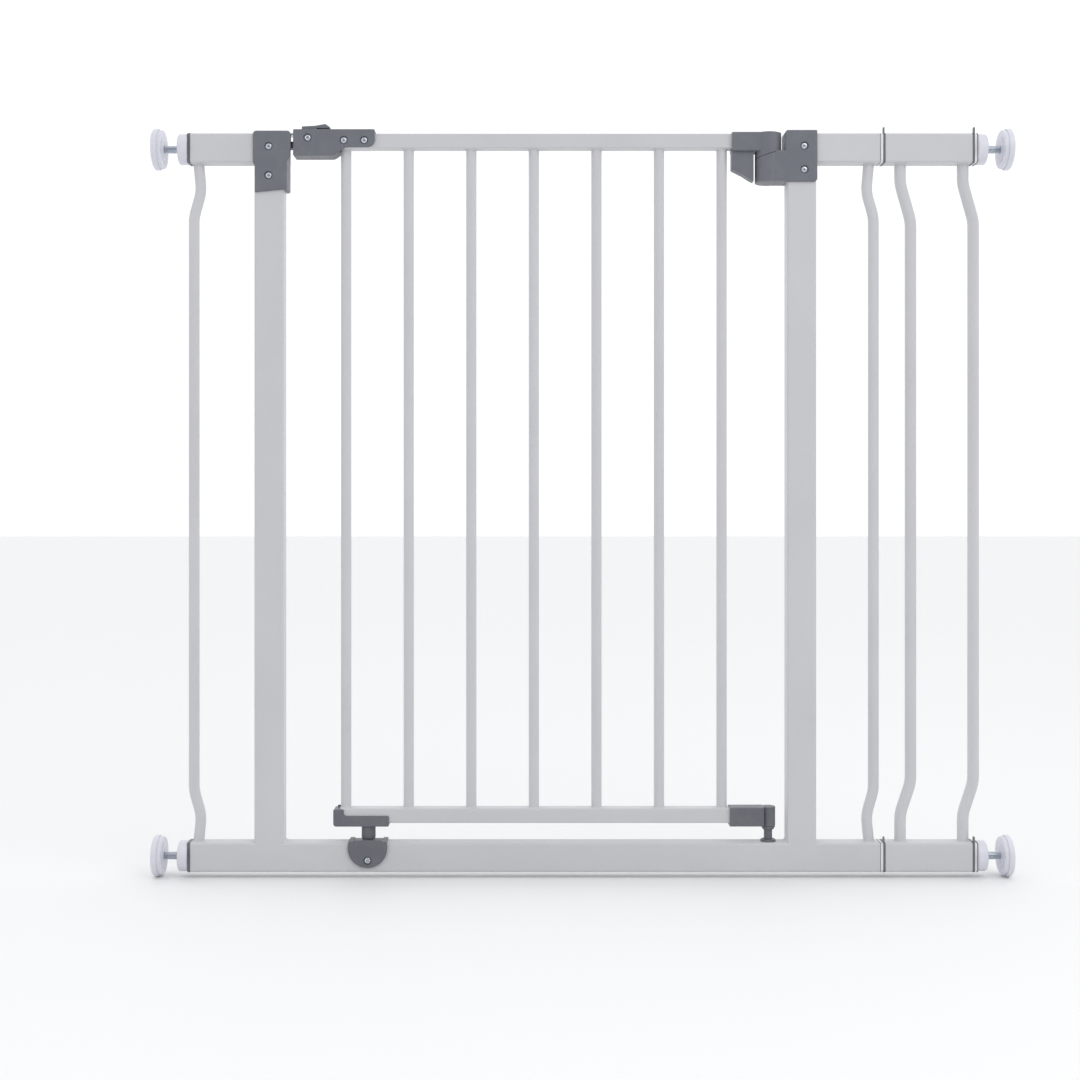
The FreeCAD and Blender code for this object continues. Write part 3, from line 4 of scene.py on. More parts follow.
import bpy
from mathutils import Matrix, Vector


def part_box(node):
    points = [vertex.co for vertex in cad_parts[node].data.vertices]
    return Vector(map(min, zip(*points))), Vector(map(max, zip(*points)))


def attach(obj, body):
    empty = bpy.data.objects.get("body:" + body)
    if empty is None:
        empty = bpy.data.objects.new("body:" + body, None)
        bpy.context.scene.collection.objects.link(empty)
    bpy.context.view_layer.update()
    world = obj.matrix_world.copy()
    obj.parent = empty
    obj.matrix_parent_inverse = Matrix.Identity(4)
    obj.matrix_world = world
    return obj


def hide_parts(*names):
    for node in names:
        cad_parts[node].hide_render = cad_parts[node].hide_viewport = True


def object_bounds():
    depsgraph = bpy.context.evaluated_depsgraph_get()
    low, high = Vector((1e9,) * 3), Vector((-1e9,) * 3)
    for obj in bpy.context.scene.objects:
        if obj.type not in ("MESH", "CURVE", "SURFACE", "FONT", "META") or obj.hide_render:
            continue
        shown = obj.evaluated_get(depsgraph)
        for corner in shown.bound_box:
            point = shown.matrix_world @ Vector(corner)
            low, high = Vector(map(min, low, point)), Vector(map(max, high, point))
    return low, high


# Baby gate: the CAD nodes keep their shapes and get finishes here. The threaded spindles, the screw heads
# and the weld fillets are modelled in this file.

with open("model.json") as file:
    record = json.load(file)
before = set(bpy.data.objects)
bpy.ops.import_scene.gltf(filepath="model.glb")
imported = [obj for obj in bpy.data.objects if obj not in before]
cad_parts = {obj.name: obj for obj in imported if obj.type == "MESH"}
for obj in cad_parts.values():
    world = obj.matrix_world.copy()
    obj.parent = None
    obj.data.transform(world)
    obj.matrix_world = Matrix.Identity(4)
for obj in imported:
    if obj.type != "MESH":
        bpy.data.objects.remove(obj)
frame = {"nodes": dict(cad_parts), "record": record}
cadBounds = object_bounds()
print("frame loaded:", len(frame["nodes"]), "nodes")

corners = ["upper_left", "lower_left", "upper_right", "lower_right"]


# Finishes

def addGroupSocket(group, name, kind, inOut, value=None):
    socket = group.interface.new_socket(name=name, in_out=inOut, socket_type=kind)
    if value is not None:
        socket.default_value = value


def placeNodes(tree):
    # spread the nodes out so that the tree can be read when it is opened
    depth = {}
    for _ in range(len(tree.nodes)):
        for link in tree.links:
            depth[link.to_node] = max(depth.get(link.to_node, 0), depth.get(link.from_node, 0) + 1)
            if depth[link.to_node] > 30:
                return
    rows = {}
    for node in tree.nodes:
        column = depth.get(node, 0)
        node.location = (column * 220, -rows.get(column, 0) * 220)
        rows[column] = rows.get(column, 0) + 1


def makeCoatGroup():
    # powder coat: orange peel, slow gloss changes, a little dust and a painted cream highlight on faces
    # that point up
    group = bpy.data.node_groups.new("powderCoat", "ShaderNodeTree")
    addGroupSocket(group, "Paint", "NodeSocketColor", "INPUT", (0.6, 0.6, 0.6, 1))
    addGroupSocket(group, "Peel Scale", "NodeSocketFloat", "INPUT", 620)
    addGroupSocket(group, "Gloss", "NodeSocketFloat", "INPUT", 0.36)
    addGroupSocket(group, "Dust And Top Light", "NodeSocketFloat", "INPUT", 0.1)
    addGroupSocket(group, "Color", "NodeSocketColor", "OUTPUT")
    addGroupSocket(group, "Roughness", "NodeSocketFloat", "OUTPUT")
    addGroupSocket(group, "Height", "NodeSocketFloat", "OUTPUT")
    nodes, links = group.nodes, group.links
    inputs = nodes.new("NodeGroupInput")
    outputs = nodes.new("NodeGroupOutput")
    place = nodes.new("ShaderNodeTexCoord")
    peel = nodes.new("ShaderNodeTexNoise")
    peel.inputs["Detail"].default_value = 2
    links.new(place.outputs["Object"], peel.inputs["Vector"])
    links.new(inputs.outputs["Peel Scale"], peel.inputs["Scale"])
    speck = nodes.new("ShaderNodeTexVoronoi")
    speck.inputs["Scale"].default_value = 260
    links.new(place.outputs["Object"], speck.inputs["Vector"])
    pit = nodes.new("ShaderNodeMapRange")
    pit.inputs["From Min"].default_value = 0.02
    pit.inputs["From Max"].default_value = 0.09
    links.new(speck.outputs["Distance"], pit.inputs["Value"])
    height = nodes.new("ShaderNodeMath")
    height.operation = "MULTIPLY_ADD"
    height.inputs[1].default_value = 0.12
    links.new(pit.outputs["Result"], height.inputs[0])
    links.new(peel.outputs["Fac"], height.inputs[2])
    links.new(height.outputs[0], outputs.inputs["Height"])
    cloud = nodes.new("ShaderNodeTexNoise")
    cloud.inputs["Scale"].default_value = 9
    cloud.inputs["Detail"].default_value = 4
    links.new(place.outputs["Object"], cloud.inputs["Vector"])
    tone = nodes.new("ShaderNodeMapRange")
    tone.inputs["From Min"].default_value = 0.3
    tone.inputs["From Max"].default_value = 0.7
    tone.inputs["To Min"].default_value = 0.965
    tone.inputs["To Max"].default_value = 1.02
    links.new(cloud.outputs["Fac"], tone.inputs["Value"])
    toned = nodes.new("ShaderNodeVectorMath")
    toned.operation = "SCALE"
    links.new(inputs.outputs["Paint"], toned.inputs[0])
    links.new(tone.outputs["Result"], toned.inputs["Scale"])
    geometry = nodes.new("ShaderNodeNewGeometry")
    split = nodes.new("ShaderNodeSeparateXYZ")
    links.new(geometry.outputs["Normal"], split.inputs[0])
    up = nodes.new("ShaderNodeMapRange")
    up.inputs["From Min"].default_value = 0.75
    up.inputs["From Max"].default_value = 1
    links.new(split.outputs["Z"], up.inputs["Value"])
    grit = nodes.new("ShaderNodeTexNoise")
    grit.inputs["Scale"].default_value = 140
    grit.inputs["Detail"].default_value = 5
    grit.inputs["Roughness"].default_value = 0.7
    links.new(place.outputs["Object"], grit.inputs["Vector"])
    upFacingGrit = nodes.new("ShaderNodeMath")
    upFacingGrit.operation = "MULTIPLY"
    links.new(up.outputs["Result"], upFacingGrit.inputs[0])
    links.new(grit.outputs["Fac"], upFacingGrit.inputs[1])
    dustAndTopLightAmount = nodes.new("ShaderNodeMath")
    dustAndTopLightAmount.operation = "MULTIPLY"
    links.new(upFacingGrit.outputs[0], dustAndTopLightAmount.inputs[0])
    links.new(inputs.outputs["Dust And Top Light"], dustAndTopLightAmount.inputs[1])
    # painted highlight: faces that point up get a lighter cream tint, broken up by grit noise, standing
    # for overhead light together with dust; the same amount also dulls them
    dustAndTopLight = nodes.new("ShaderNodeMix")
    dustAndTopLight.data_type = "RGBA"
    dustAndTopLight.inputs["B"].default_value = (0.62, 0.6, 0.56, 1)
    links.new(dustAndTopLightAmount.outputs[0], dustAndTopLight.inputs["Factor"])
    links.new(toned.outputs[0], dustAndTopLight.inputs["A"])
    links.new(dustAndTopLight.outputs["Result"], outputs.inputs["Color"])
    gloss = nodes.new("ShaderNodeMath")
    gloss.operation = "MULTIPLY_ADD"
    gloss.inputs[1].default_value = 0.12
    links.new(cloud.outputs["Fac"], gloss.inputs[0])
    links.new(inputs.outputs["Gloss"], gloss.inputs[2])
    dull = nodes.new("ShaderNodeMath")
    dull.operation = "ADD"
    dull.use_clamp = True
    links.new(gloss.outputs[0], dull.inputs[0])
    links.new(dustAndTopLightAmount.outputs[0], dull.inputs[1])
    links.new(dull.outputs[0], outputs.inputs["Roughness"])
    placeNodes(group)
    return group


def makeMouldGroup():
    # moulded plastic: fine spark-eroded texture, slow sheen changes, faint rubbed patches
    group = bpy.data.node_groups.new("mouldedPlastic", "ShaderNodeTree")
    addGroupSocket(group, "Plastic", "NodeSocketColor", "INPUT", (0.2, 0.2, 0.2, 1))
    addGroupSocket(group, "Rubbed", "NodeSocketColor", "INPUT", (0.25, 0.25, 0.25, 1))
    addGroupSocket(group, "Grain Scale", "NodeSocketFloat", "INPUT", 1700)
    addGroupSocket(group, "Dullness", "NodeSocketFloat", "INPUT", 0.5)
    addGroupSocket(group, "Color", "NodeSocketColor", "OUTPUT")
    addGroupSocket(group, "Roughness", "NodeSocketFloat", "OUTPUT")
    addGroupSocket(group, "Height", "NodeSocketFloat", "OUTPUT")
    nodes, links = group.nodes, group.links
    inputs = nodes.new("NodeGroupInput")
    outputs = nodes.new("NodeGroupOutput")
    place = nodes.new("ShaderNodeTexCoord")
    grain = nodes.new("ShaderNodeTexVoronoi")
    grain.feature = "SMOOTH_F1"
    grain.inputs["Smoothness"].default_value = 0.6
    links.new(place.outputs["Object"], grain.inputs["Vector"])
    links.new(inputs.outputs["Grain Scale"], grain.inputs["Scale"])
    links.new(grain.outputs["Distance"], outputs.inputs["Height"])
    patch = nodes.new("ShaderNodeTexNoise")
    patch.inputs["Scale"].default_value = 55
    patch.inputs["Detail"].default_value = 5
    patch.inputs["Roughness"].default_value = 0.62
    links.new(place.outputs["Object"], patch.inputs["Vector"])
    mask = nodes.new("ShaderNodeMapRange")
    mask.inputs["From Min"].default_value = 0.42
    mask.inputs["From Max"].default_value = 0.72
    links.new(patch.outputs["Fac"], mask.inputs["Value"])
    blend = nodes.new("ShaderNodeMix")
    blend.data_type = "RGBA"
    links.new(mask.outputs["Result"], blend.inputs["Factor"])
    links.new(inputs.outputs["Plastic"], blend.inputs["A"])
    links.new(inputs.outputs["Rubbed"], blend.inputs["B"])
    links.new(blend.outputs["Result"], outputs.inputs["Color"])
    sheen = nodes.new("ShaderNodeMath")
    sheen.operation = "MULTIPLY_ADD"
    sheen.inputs[1].default_value = -0.13
    sheen.use_clamp = True
    links.new(mask.outputs["Result"], sheen.inputs[0])
    links.new(inputs.outputs["Dullness"], sheen.inputs[2])
    links.new(sheen.outputs[0], outputs.inputs["Roughness"])
    placeNodes(group)
    return group


def makeZincGroup():
    # zinc plating: small spangle in the roughness, darker specks in the tone
    group = bpy.data.node_groups.new("zincPlating", "ShaderNodeTree")
    addGroupSocket(group, "Zinc", "NodeSocketColor", "INPUT", (0.6, 0.6, 0.6, 1))
    addGroupSocket(group, "Dullness", "NodeSocketFloat", "INPUT", 0.3)
    addGroupSocket(group, "Color", "NodeSocketColor", "OUTPUT")
    addGroupSocket(group, "Roughness", "NodeSocketFloat", "OUTPUT")
    addGroupSocket(group, "Height", "NodeSocketFloat", "OUTPUT")
    nodes, links = group.nodes, group.links
    inputs = nodes.new("NodeGroupInput")
    outputs = nodes.new("NodeGroupOutput")
    place = nodes.new("ShaderNodeTexCoord")
    spangle = nodes.new("ShaderNodeTexVoronoi")
    spangle.inputs["Scale"].default_value = 900
    links.new(place.outputs["Object"], spangle.inputs["Vector"])
    cloud = nodes.new("ShaderNodeTexNoise")
    cloud.inputs["Scale"].default_value = 300
    cloud.inputs["Detail"].default_value = 6
    links.new(place.outputs["Object"], cloud.inputs["Vector"])
    tone = nodes.new("ShaderNodeMapRange")
    tone.inputs["To Min"].default_value = 0.72
    tone.inputs["To Max"].default_value = 1.12
    links.new(cloud.outputs["Fac"], tone.inputs["Value"])
    toned = nodes.new("ShaderNodeVectorMath")
    toned.operation = "SCALE"
    links.new(inputs.outputs["Zinc"], toned.inputs[0])
    links.new(tone.outputs["Result"], toned.inputs["Scale"])
    links.new(toned.outputs[0], outputs.inputs["Color"])
    dull = nodes.new("ShaderNodeMath")
    dull.operation = "MULTIPLY_ADD"
    dull.inputs[1].default_value = 0.2
    links.new(spangle.outputs["Distance"], dull.inputs[0])
    links.new(inputs.outputs["Dullness"], dull.inputs[2])
    links.new(dull.outputs[0], outputs.inputs["Roughness"])
    links.new(cloud.outputs["Fac"], outputs.inputs["Height"])
    placeNodes(group)
    return group


coatGroup = makeCoatGroup()
mouldGroup = makeMouldGroup()
zincGroup = makeZincGroup()

# the Dust And Top Light input of painted_steel sets the painted cream highlight, with dust, on faces that
# point up
finishes = {
    "painted_steel": {"group": coatGroup, "bump": 0.00006, "metallic": 0, "specular": 0.12,
                      "inputs": {"Paint": (0.578, 0.58, 0.6, 1), "Peel Scale": 620, "Gloss": 0.3,
                                 "Dust And Top Light": 0.08}},
    "grey_plastic": {"group": mouldGroup, "bump": 0.00004, "metallic": 0, "specular": 0.25,
                     "inputs": {"Plastic": (0.158, 0.166, 0.19, 1), "Rubbed": (0.18, 0.188, 0.211, 1),
                                "Grain Scale": 1700, "Dullness": 0.46}},
    "dark_plastic": {"group": mouldGroup, "bump": 0.00004, "metallic": 0, "specular": 0.25,
                     "inputs": {"Plastic": (0.138, 0.144, 0.164, 1), "Rubbed": (0.16, 0.166, 0.185, 1),
                                "Grain Scale": 1900, "Dullness": 0.44}},
    "white_plastic": {"group": mouldGroup, "bump": 0.00002, "metallic": 0, "specular": 0.4,
                      "inputs": {"Plastic": (0.66, 0.665, 0.735, 1), "Rubbed": (0.7, 0.705, 0.77, 1),
                                 "Grain Scale": 2400, "Dullness": 0.4}},
    "joiner_plastic": {"group": mouldGroup, "bump": 0.00002, "metallic": 0, "specular": 0.4,
                       "inputs": {"Plastic": (0.87, 0.87, 0.88, 1), "Rubbed": (0.9, 0.9, 0.91, 1),
                                  "Grain Scale": 2200, "Dullness": 0.45}},
    "zinc_steel": {"group": zincGroup, "bump": 0.00002, "metallic": 1, "specular": 0.5,
                   "inputs": {"Zinc": (0.62, 0.66, 0.72, 1), "Dullness": 0.22}},
}


def makeMaterial(name, finish):
    material = bpy.data.materials.new(name)
    material.use_nodes = True
    nodes, links = material.node_tree.nodes, material.node_tree.links
    shader = nodes["Principled BSDF"]
    effect = nodes.new("ShaderNodeGroup")
    effect.node_tree = finish["group"]
    for socket, value in finish["inputs"].items():
        effect.inputs[socket].default_value = value
    bump = nodes.new("ShaderNodeBump")
    bump.inputs["Strength"].default_value = 0.7
    bump.inputs["Distance"].default_value = finish["bump"]
    links.new(effect.outputs["Color"], shader.inputs["Base Color"])
    links.new(effect.outputs["Roughness"], shader.inputs["Roughness"])
    links.new(effect.outputs["Height"], bump.inputs["Height"])
    links.new(bump.outputs["Normal"], shader.inputs["Normal"])
    shader.inputs["Metallic"].default_value = finish["metallic"]
    shader.inputs["Specular IOR Level"].default_value = finish["specular"]
    placeNodes(material.node_tree)
    return material


materials = {name: makeMaterial(name, finish) for name, finish in finishes.items()}
for part in frame["record"]["subparts"]:
    shape = frame["nodes"][part["node"]]
    for slotIndex in range(len(shape.material_slots)):
        shape.material_slots[slotIndex].material = materials[part["material_slot"]]
print("finishes:", ", ".join(materials))


# Small helpers for the pieces modelled here

def selectPieces(pieces):
    bpy.ops.object.select_all(action="DESELECT")
    for piece in pieces:
        piece.select_set(True)
    bpy.context.view_layer.objects.active = pieces[0]


def applyPlaces(pieces):
    selectPieces(pieces)
    bpy.ops.object.transform_apply(location=True, rotation=True, scale=True)


def startEditing(name):
    piece = bpy.context.object
    piece.name = name
    piece.data.name = name
    bpy.ops.object.mode_set(mode="EDIT")
    return piece


def startLine(name, place):
    # an object of one selected vertex, from which an outline is drawn by extruding
    bpy.ops.object.select_all(action="DESELECT")
    bpy.ops.mesh.primitive_plane_add(size=0.001, location=(0, 0, 0))
    piece = startEditing(name)
    bpy.ops.mesh.select_mode(type="VERT")
    bpy.ops.mesh.select_all(action="SELECT")
    bpy.ops.mesh.merge(type="CENTER")
    bpy.ops.mesh.select_all(action="SELECT")
    bpy.ops.transform.translate(value=place)
    return piece


def drawOutline(outline):
    for before, after in zip(outline, outline[1:]):
        move = (after[0] - before[0], 0, after[1] - before[1])
        bpy.ops.mesh.extrude_region_move(TRANSFORM_OT_translate={"value": move})


def settle(piece, material):
    # back to object mode, place kept in the mesh, smooth faces with sharp creases
    if bpy.context.object.mode == "EDIT":
        bpy.ops.object.mode_set(mode="OBJECT")
    applyPlaces([piece])
    bpy.ops.object.shade_smooth_by_angle(angle=math.radians(32))
    piece.data.materials.clear()
    piece.data.materials.append(materials[material])


def applyModifier(piece, kind, **settings):
    bpy.context.view_layer.objects.active = piece
    modifier = piece.modifiers.new(kind.title(), kind)
    for key, value in settings.items():
        setattr(modifier, key, value)
    bpy.ops.object.modifier_apply(modifier=modifier.name)


# Threaded spindles

spindle = {"pitch": 0.00125, "depth": 0.00062, "steps": 28, "crest": 0.22, "cone": 0.0012}


def makeSpindle(corner):
    low, high = [Vector(c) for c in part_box(f"spindle_{corner}")]
    centre = (low + high) / 2
    radius = (high.z - low.z) / 2
    length = high.x - low.x
    pitch = spindle["pitch"]
    root = radius - spindle["depth"]
    plain = spindle["cone"]
    turns = int((length - 2 * plain) / pitch)
    piece = startLine(f"threadedSpindle_{corner}", (root, 0, -turns * pitch / 2))
    slope = (pitch - spindle["crest"] * pitch) / 2 - 0.06 * pitch
    # one tooth: root flat, rising flank, crest, falling flank
    for across, up in ((0, 0.12 * pitch), (spindle["depth"], slope), (0, spindle["crest"] * pitch),
                       (-spindle["depth"], slope)):
        bpy.ops.mesh.extrude_region_move(TRANSFORM_OT_translate={"value": (across, 0, up)})
    bpy.ops.object.mode_set(mode="OBJECT")
    applyModifier(piece, "SCREW", axis="Z", angle=2 * math.pi, screw_offset=pitch, iterations=turns,
                  steps=spindle["steps"], render_steps=spindle["steps"], use_merge_vertices=True,
                  merge_threshold=0.000002, use_smooth_shade=True)
    bpy.ops.object.mode_set(mode="EDIT")
    bpy.ops.mesh.select_all(action="SELECT")
    bpy.ops.mesh.remove_doubles(threshold=0.000004)
    # close both ends, then draw them out into short cones
    bpy.ops.mesh.select_mode(type="EDGE")
    bpy.ops.mesh.select_all(action="DESELECT")
    bpy.ops.mesh.select_non_manifold(extend=False)
    bpy.ops.mesh.extrude_region_move(TRANSFORM_OT_translate={"value": (0, 0, 0)})
    bpy.ops.object.mode_set(mode="OBJECT")
    half = length / 2
    for vertex in piece.data.vertices:
        if vertex.select:
            side = 1 if vertex.co.z > 0 else -1
            around = math.hypot(vertex.co.x, vertex.co.y)
            vertex.co.x *= (root - 0.0005) / around
            vertex.co.y *= (root - 0.0005) / around
            vertex.co.z = side * half
    bpy.ops.object.mode_set(mode="EDIT")
    bpy.ops.mesh.fill_holes(sides=0)
    bpy.ops.mesh.select_all(action="SELECT")
    bpy.ops.mesh.normals_make_consistent(inside=False)
    bpy.ops.object.mode_set(mode="OBJECT")
    piece.rotation_euler = (0, math.pi / 2, 0)
    piece.location = centre
    settle(piece, "zinc_steel")
    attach(piece, f"wall_end_{corner}")
    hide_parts(f"spindle_{corner}")


for corner in corners:
    makeSpindle(corner)
print("threaded spindles:", len(corners))


# Cross-recess screws

screwLook = {"crown": 0.001, "washerEdge": 0.0003, "shank": 0.0015, "tip": 0.001, "steps": 32,
             "apart": 0.0075, "recessLong": 0.0037, "recessWide": 0.00105, "recessDeep": 0.0013}


def screwPlaces(nodeName):
    # one low and high corner for each screw of the node
    shape = frame["nodes"][nodeName]
    places = []
    for vertex in shape.data.vertices:
        point = shape.matrix_world @ vertex.co
        for place in places:
            if math.hypot(point.x - place["x"], point.z - place["z"]) < screwLook["apart"]:
                break
        else:
            place = {"x": point.x, "z": point.z, "points": []}
            places.append(place)
        place["points"].append(point)
    found = []
    for place in places:
        points = place["points"]
        low = Vector([min(point[i] for point in points) for i in range(3)])
        high = Vector([max(point[i] for point in points) for i in range(3)])
        found.append((low, high))
    return found


def turnProfile(name, profile, steps):
    # profile of (radius, height) steps turned about Z into a closed solid
    piece = startLine(name, (profile[0][0], 0, profile[0][1]))
    drawOutline(profile)
    bpy.ops.object.mode_set(mode="OBJECT")
    applyModifier(piece, "SCREW", axis="Z", angle=2 * math.pi, steps=steps, render_steps=steps,
                  use_merge_vertices=True, merge_threshold=0.000002, use_smooth_shade=True)
    bpy.ops.object.mode_set(mode="EDIT")
    bpy.ops.mesh.select_all(action="SELECT")
    bpy.ops.mesh.remove_doubles(threshold=0.000004)
    bpy.ops.mesh.normals_make_consistent(inside=False)
    bpy.ops.object.mode_set(mode="OBJECT")
    return piece


def makeRecessCutter():
    # two tapered wings that narrow towards the bottom of the recess
    wings = []
    for turn in (0, math.pi / 2):
        bpy.ops.object.select_all(action="DESELECT")
        bpy.ops.mesh.primitive_cube_add(size=1, location=(0, 0, 0))
        wing = startEditing("recessWing")
        bpy.ops.mesh.select_all(action="SELECT")
        bpy.ops.transform.resize(value=(screwLook["recessLong"], screwLook["recessWide"],
                                        screwLook["recessDeep"] + 0.001))
        bpy.ops.mesh.select_all(action="DESELECT")
        bpy.ops.object.mode_set(mode="OBJECT")
        for vertex in wing.data.vertices:
            vertex.select = vertex.co.z > 0
        bpy.ops.object.mode_set(mode="EDIT")
        bpy.ops.transform.resize(value=(0.5, 0.7, 1), center_override=(0, 0, 0))
        bpy.ops.object.mode_set(mode="OBJECT")
        wing.location = (0, 0, (screwLook["recessDeep"] - 0.001) / 2)
        wing.rotation_euler = (0, 0, turn)
        wings.append(wing)
    applyPlaces(wings)
    applyModifier(wings[0], "BOOLEAN", operation="UNION", solver="EXACT", object=wings[1])
    bpy.data.objects.remove(wings[1])
    return wings[0]


def makeScrew(radius, length):
    # head first at Z = 0, shank towards +Z
    crown, edge, shank = screwLook["crown"], screwLook["washerEdge"], screwLook["shank"]
    profile = [(0, 0), (0.3 * radius, 0.05 * crown), (0.55 * radius, 0.2 * crown),
               (0.76 * radius, 0.45 * crown), (0.91 * radius, 0.75 * crown), (0.985 * radius, crown),
               (radius, crown + 0.3 * edge), (radius, crown + edge), (shank, crown + edge),
               (shank, length - screwLook["tip"]), (0.3 * shank, length), (0, length)]
    piece = turnProfile("crossScrew", profile, screwLook["steps"])
    cutter = makeRecessCutter()
    applyModifier(piece, "BOOLEAN", operation="DIFFERENCE", solver="EXACT", object=cutter)
    bpy.data.objects.remove(cutter)
    return piece


def copyPiece(piece, name):
    copied = piece.copy()
    copied.data = piece.data.copy()
    copied.name = name
    copied.data.name = name
    bpy.context.collection.objects.link(copied)
    return copied


def joinPieces(pieces, name):
    selectPieces(pieces)
    if len(pieces) > 1:
        bpy.ops.object.join()
    joined = bpy.context.view_layer.objects.active
    joined.name = name
    joined.data.name = name
    return joined


def makeScrews(nodeName, name, body):
    places = screwPlaces(nodeName)
    low, high = places[0]
    model = makeScrew((high.x - low.x) / 2, high.y - low.y)
    pieces = [model] + [copyPiece(model, f"{name}_{number}") for number in range(1, len(places))]
    for number, (piece, (low, high)) in enumerate(zip(pieces, places)):
        centre = (low + high) / 2
        piece.location = (centre.x, low.y, centre.z)
        # each recess stops at its own angle, as driven screws do
        piece.rotation_mode = "ZXY"
        piece.rotation_euler = (-math.pi / 2, 0, 0.35 + 0.9 * number)
    applyPlaces(pieces)
    joined = joinPieces(pieces, name)
    settle(joined, "zinc_steel")
    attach(joined, body)
    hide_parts(nodeName)
    return len(places)


screwCount = makeScrews("cap_screws", "capScrews", "frame")
screwCount += makeScrews("handle_screws", "handleScrews", "leaf")
screwCount += makeScrews("catch_screw", "catchScrew", "frame")
print("cross-recess screws:", screwCount)


# Weld fillets, painted over with the tubes

weld = {"barFoot": 0.0009, "barHeight": 0.0012, "postFoot": 0.0018, "postDeep": 0.0172, "buried": 0.0003,
        "steps": 28}


def barEnd(nodeName, top):
    # centre of a bar's end face and the bar's radius
    shape = frame["nodes"][nodeName]
    points = [shape.matrix_world @ vertex.co for vertex in shape.data.vertices]
    level = max(point.z for point in points) if top else min(point.z for point in points)
    ring = [point for point in points if abs(point.z - level) < 0.00015]
    left, right = min(point.x for point in ring), max(point.x for point in ring)
    back, front = min(point.y for point in ring), max(point.y for point in ring)
    return Vector(((left + right) / 2, (back + front) / 2, level)), (right - left) / 2


def makeRingWeld(radius):
    foot, height = weld["barFoot"], weld["barHeight"]
    inside = radius - weld["buried"]
    profile = [(inside, 0), (radius + foot, 0), (radius + 0.86 * foot, 0.2 * height),
               (radius + 0.5 * foot, 0.42 * height), (radius + 0.2 * foot, 0.72 * height),
               (radius + 0.04 * foot, height), (inside, height), (inside, 0)]
    return turnProfile("ringWeld", profile, weld["steps"])


def makeRingWelds(nodeNames):
    pieces = []
    models = {}
    for nodeName in nodeNames:
        for top in (False, True):
            centre, radius = barEnd(nodeName, top)
            size = round(radius, 4)
            if size not in models:
                models[size] = makeRingWeld(radius)
            piece = copyPiece(models[size], "ringWeldCopy")
            piece.location = centre
            if top:
                piece.rotation_euler = (math.pi, 0, 0)
            pieces.append(piece)
    for model in models.values():
        bpy.data.objects.remove(model)
    applyPlaces(pieces)
    return pieces


def makePostWeld(x, z, side):
    # a small hollow fillet along the foot of a post, drawn as an outline and extruded to the rear
    foot, deep, buried = weld["postFoot"], weld["postDeep"], weld["buried"]
    outline = [(-side * buried, -buried), (side * foot, -buried), (side * foot, 0.0001),
               (side * 0.62 * foot, 0.14 * foot), (side * 0.3 * foot, 0.36 * foot),
               (side * 0.12 * foot, 0.66 * foot), (side * 0.00008, foot), (-side * buried, foot)]
    piece = startLine("postWeld", (outline[0][0], -deep / 2, outline[0][1]))
    drawOutline(outline)
    bpy.ops.mesh.select_all(action="SELECT")
    bpy.ops.mesh.edge_face_add()
    bpy.ops.mesh.extrude_region_move(TRANSFORM_OT_translate={"value": (0, deep, 0)})
    bpy.ops.mesh.select_all(action="SELECT")
    bpy.ops.mesh.normals_make_consistent(inside=False)
    bpy.ops.object.mode_set(mode="OBJECT")
    piece.location = (x, 0, z)
    applyPlaces([piece])
    return piece


def finishWelds(pieces, name, body):
    joined = joinPieces(pieces, name)
    settle(joined, "painted_steel")
    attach(joined, body)


leafBars = [f"leaf_bar_{number}" for number in range(1, 8)]
finishWelds(makeRingWelds(leafBars), "leafWelds", "leaf")
frameBars = ["left_bent_bar", "right_bent_bar", "extension_left_bar", "extension_right_bar"]
frameWelds = makeRingWelds(frameBars)
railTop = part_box("bottom_rail")[1][2]
for post in ("left_post", "right_post"):
    postLow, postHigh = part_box(post)
    frameWelds.append(makePostWeld(postLow[0], railTop, -1))
    frameWelds.append(makePostWeld(postHigh[0], railTop, 1))
finishWelds(frameWelds, "frameWelds", "frame")
print("weld fillets:", 2 * (len(leafBars) + len(frameBars)), "rings, 4 straight")


# Studio

studio = {"floorColor": (0.86, 0.86, 0.86, 1), "frontStrength": 1.09, "rearStrength": 1.08,
          "cameraSide": 0.25, "keyPower": 9, "fillPower": 1.5}


def makeFloor():
    bpy.ops.object.select_all(action="DESELECT")
    bpy.ops.mesh.primitive_plane_add(size=30, location=(0, 0, cadBounds[0][2] - 0.0003))
    floor = bpy.context.object
    floor.name = "studioFloor"
    material = bpy.data.materials.new("studioFloor")
    material.use_nodes = True
    nodes, links = material.node_tree.nodes, material.node_tree.links
    shader = nodes["Principled BSDF"]
    place = nodes.new("ShaderNodeTexCoord")
    cloud = nodes.new("ShaderNodeTexNoise")
    cloud.inputs["Scale"].default_value = 1.5
    links.new(place.outputs["Object"], cloud.inputs["Vector"])
    ramp = nodes.new("ShaderNodeMapRange")
    ramp.inputs["To Min"].default_value = 0.58
    ramp.inputs["To Max"].default_value = 0.66
    links.new(cloud.outputs["Fac"], ramp.inputs["Value"])
    links.new(ramp.outputs["Result"], shader.inputs["Roughness"])
    shader.inputs["Base Color"].default_value = studio["floorColor"]
    floor.data.materials.append(material)


def makeLight(name, place, target, size, power):
    bpy.ops.object.select_all(action="DESELECT")
    bpy.ops.object.light_add(type="AREA", location=place)
    light = bpy.context.object
    light.name = name
    light.data.shape = "RECTANGLE"
    light.data.size = size[0]
    light.data.size_y = size[1]
    light.data.energy = power
    light.rotation_euler = (Vector(target) - Vector(place)).to_track_quat("-Z", "Y").to_euler()


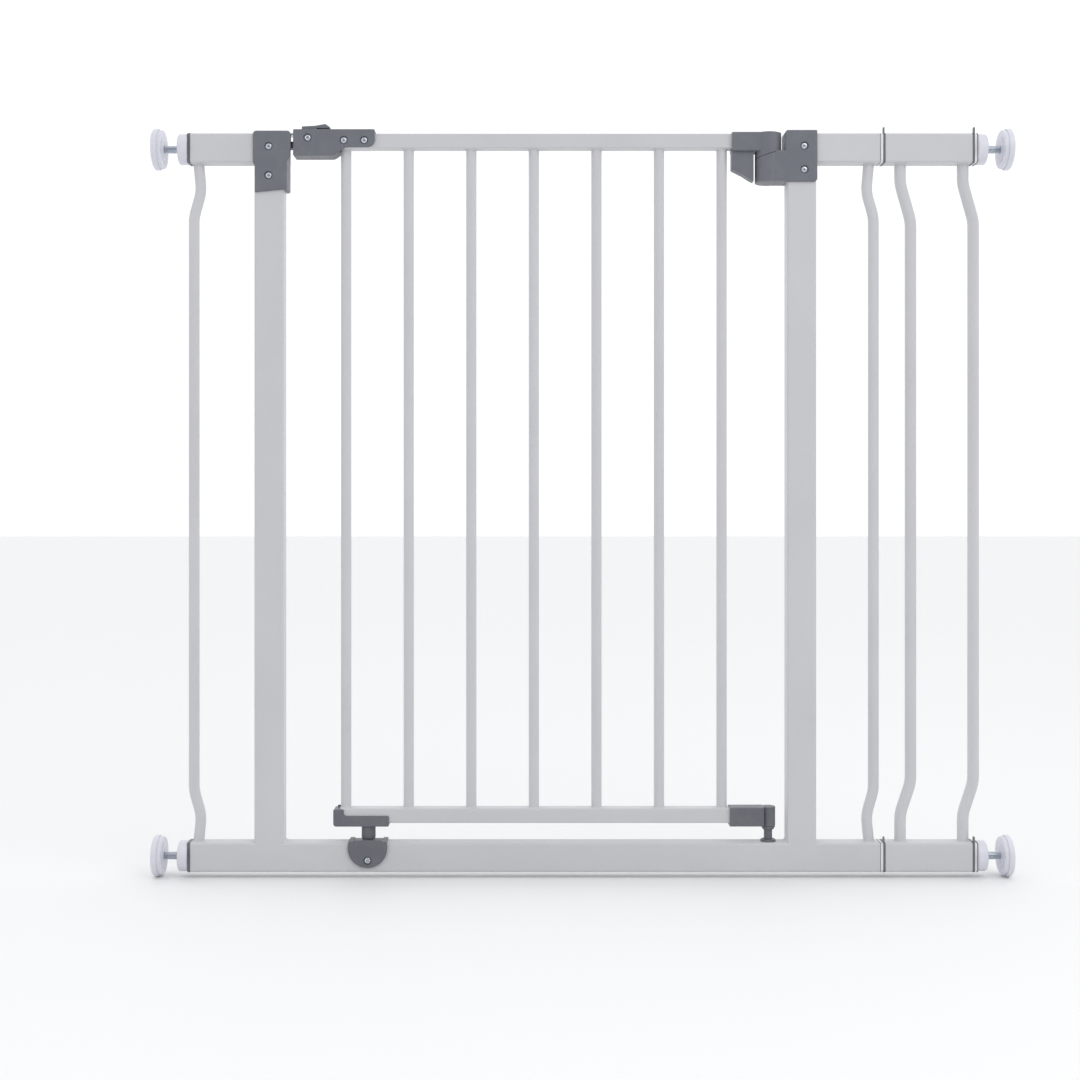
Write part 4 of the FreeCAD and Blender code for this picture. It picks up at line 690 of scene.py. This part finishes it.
def makeStudio():
    makeFloor()
    makeLight("keyLight", (1.1, -1.5, 1.9), (0, 0, 0.4), (1.6, 1.2), studio["keyPower"])
    makeLight("fillLight", (-1.6, -1.3, 1.2), (0, 0, 0.4), (1.4, 1.4), studio["fillPower"])
    world = bpy.data.worlds.new("studioWorld")
    world.use_nodes = True
    nodes, links = world.node_tree.nodes, world.node_tree.links
    backdrop = nodes["Background"]
    backdrop.inputs["Color"].default_value = (0.985, 0.99, 1, 1)
    # nearly even all round, with a dim patch where the camera stands
    toward = nodes.new("ShaderNodeTexCoord")
    split = nodes.new("ShaderNodeSeparateXYZ")
    strength = nodes.new("ShaderNodeMapRange")
    strength.interpolation_type = "SMOOTHSTEP"
    strength.inputs["From Min"].default_value = -0.35
    strength.inputs["From Max"].default_value = 0.5
    strength.inputs["To Min"].default_value = studio["frontStrength"]
    strength.inputs["To Max"].default_value = studio["rearStrength"]
    links.new(toward.outputs["Generated"], split.inputs[0])
    links.new(split.outputs["Y"], strength.inputs["Value"])
    patch = nodes.new("ShaderNodeMapRange")
    patch.interpolation_type = "SMOOTHSTEP"
    patch.inputs["From Min"].default_value = -0.92
    patch.inputs["From Max"].default_value = -0.7
    patch.inputs["To Min"].default_value = studio["cameraSide"]
    links.new(split.outputs["Y"], patch.inputs["Value"])
    whole = nodes.new("ShaderNodeMath")
    whole.operation = "MULTIPLY"
    links.new(strength.outputs["Result"], whole.inputs[0])
    links.new(patch.outputs["Result"], whole.inputs[1])
    links.new(whole.outputs[0], backdrop.inputs["Strength"])
    placeNodes(world.node_tree)
    bpy.context.scene.world = world
    bpy.context.scene.view_settings.view_transform = "Standard"


# Camera, level with the middle of the gate and square to it

view = {"across": -0.0463, "up": 0.3846, "back": 1.6, "lens": 52.13, "shiftX": 0.00278, "shiftY": -0.037}


def makeCamera():
    bpy.ops.object.camera_add(location=(view["across"], -view["back"], view["up"]),
                              rotation=(math.pi / 2, 0, 0))
    camera = bpy.context.object
    camera.name = "mainCamera"
    camera.data.sensor_width = 36
    camera.data.lens = view["lens"]
    camera.data.shift_x = view["shiftX"]
    camera.data.shift_y = view["shiftY"]
    camera.data.clip_start = 0.01
    bpy.context.scene.camera = camera


makeStudio()
makeCamera()
print("studio and camera ready")
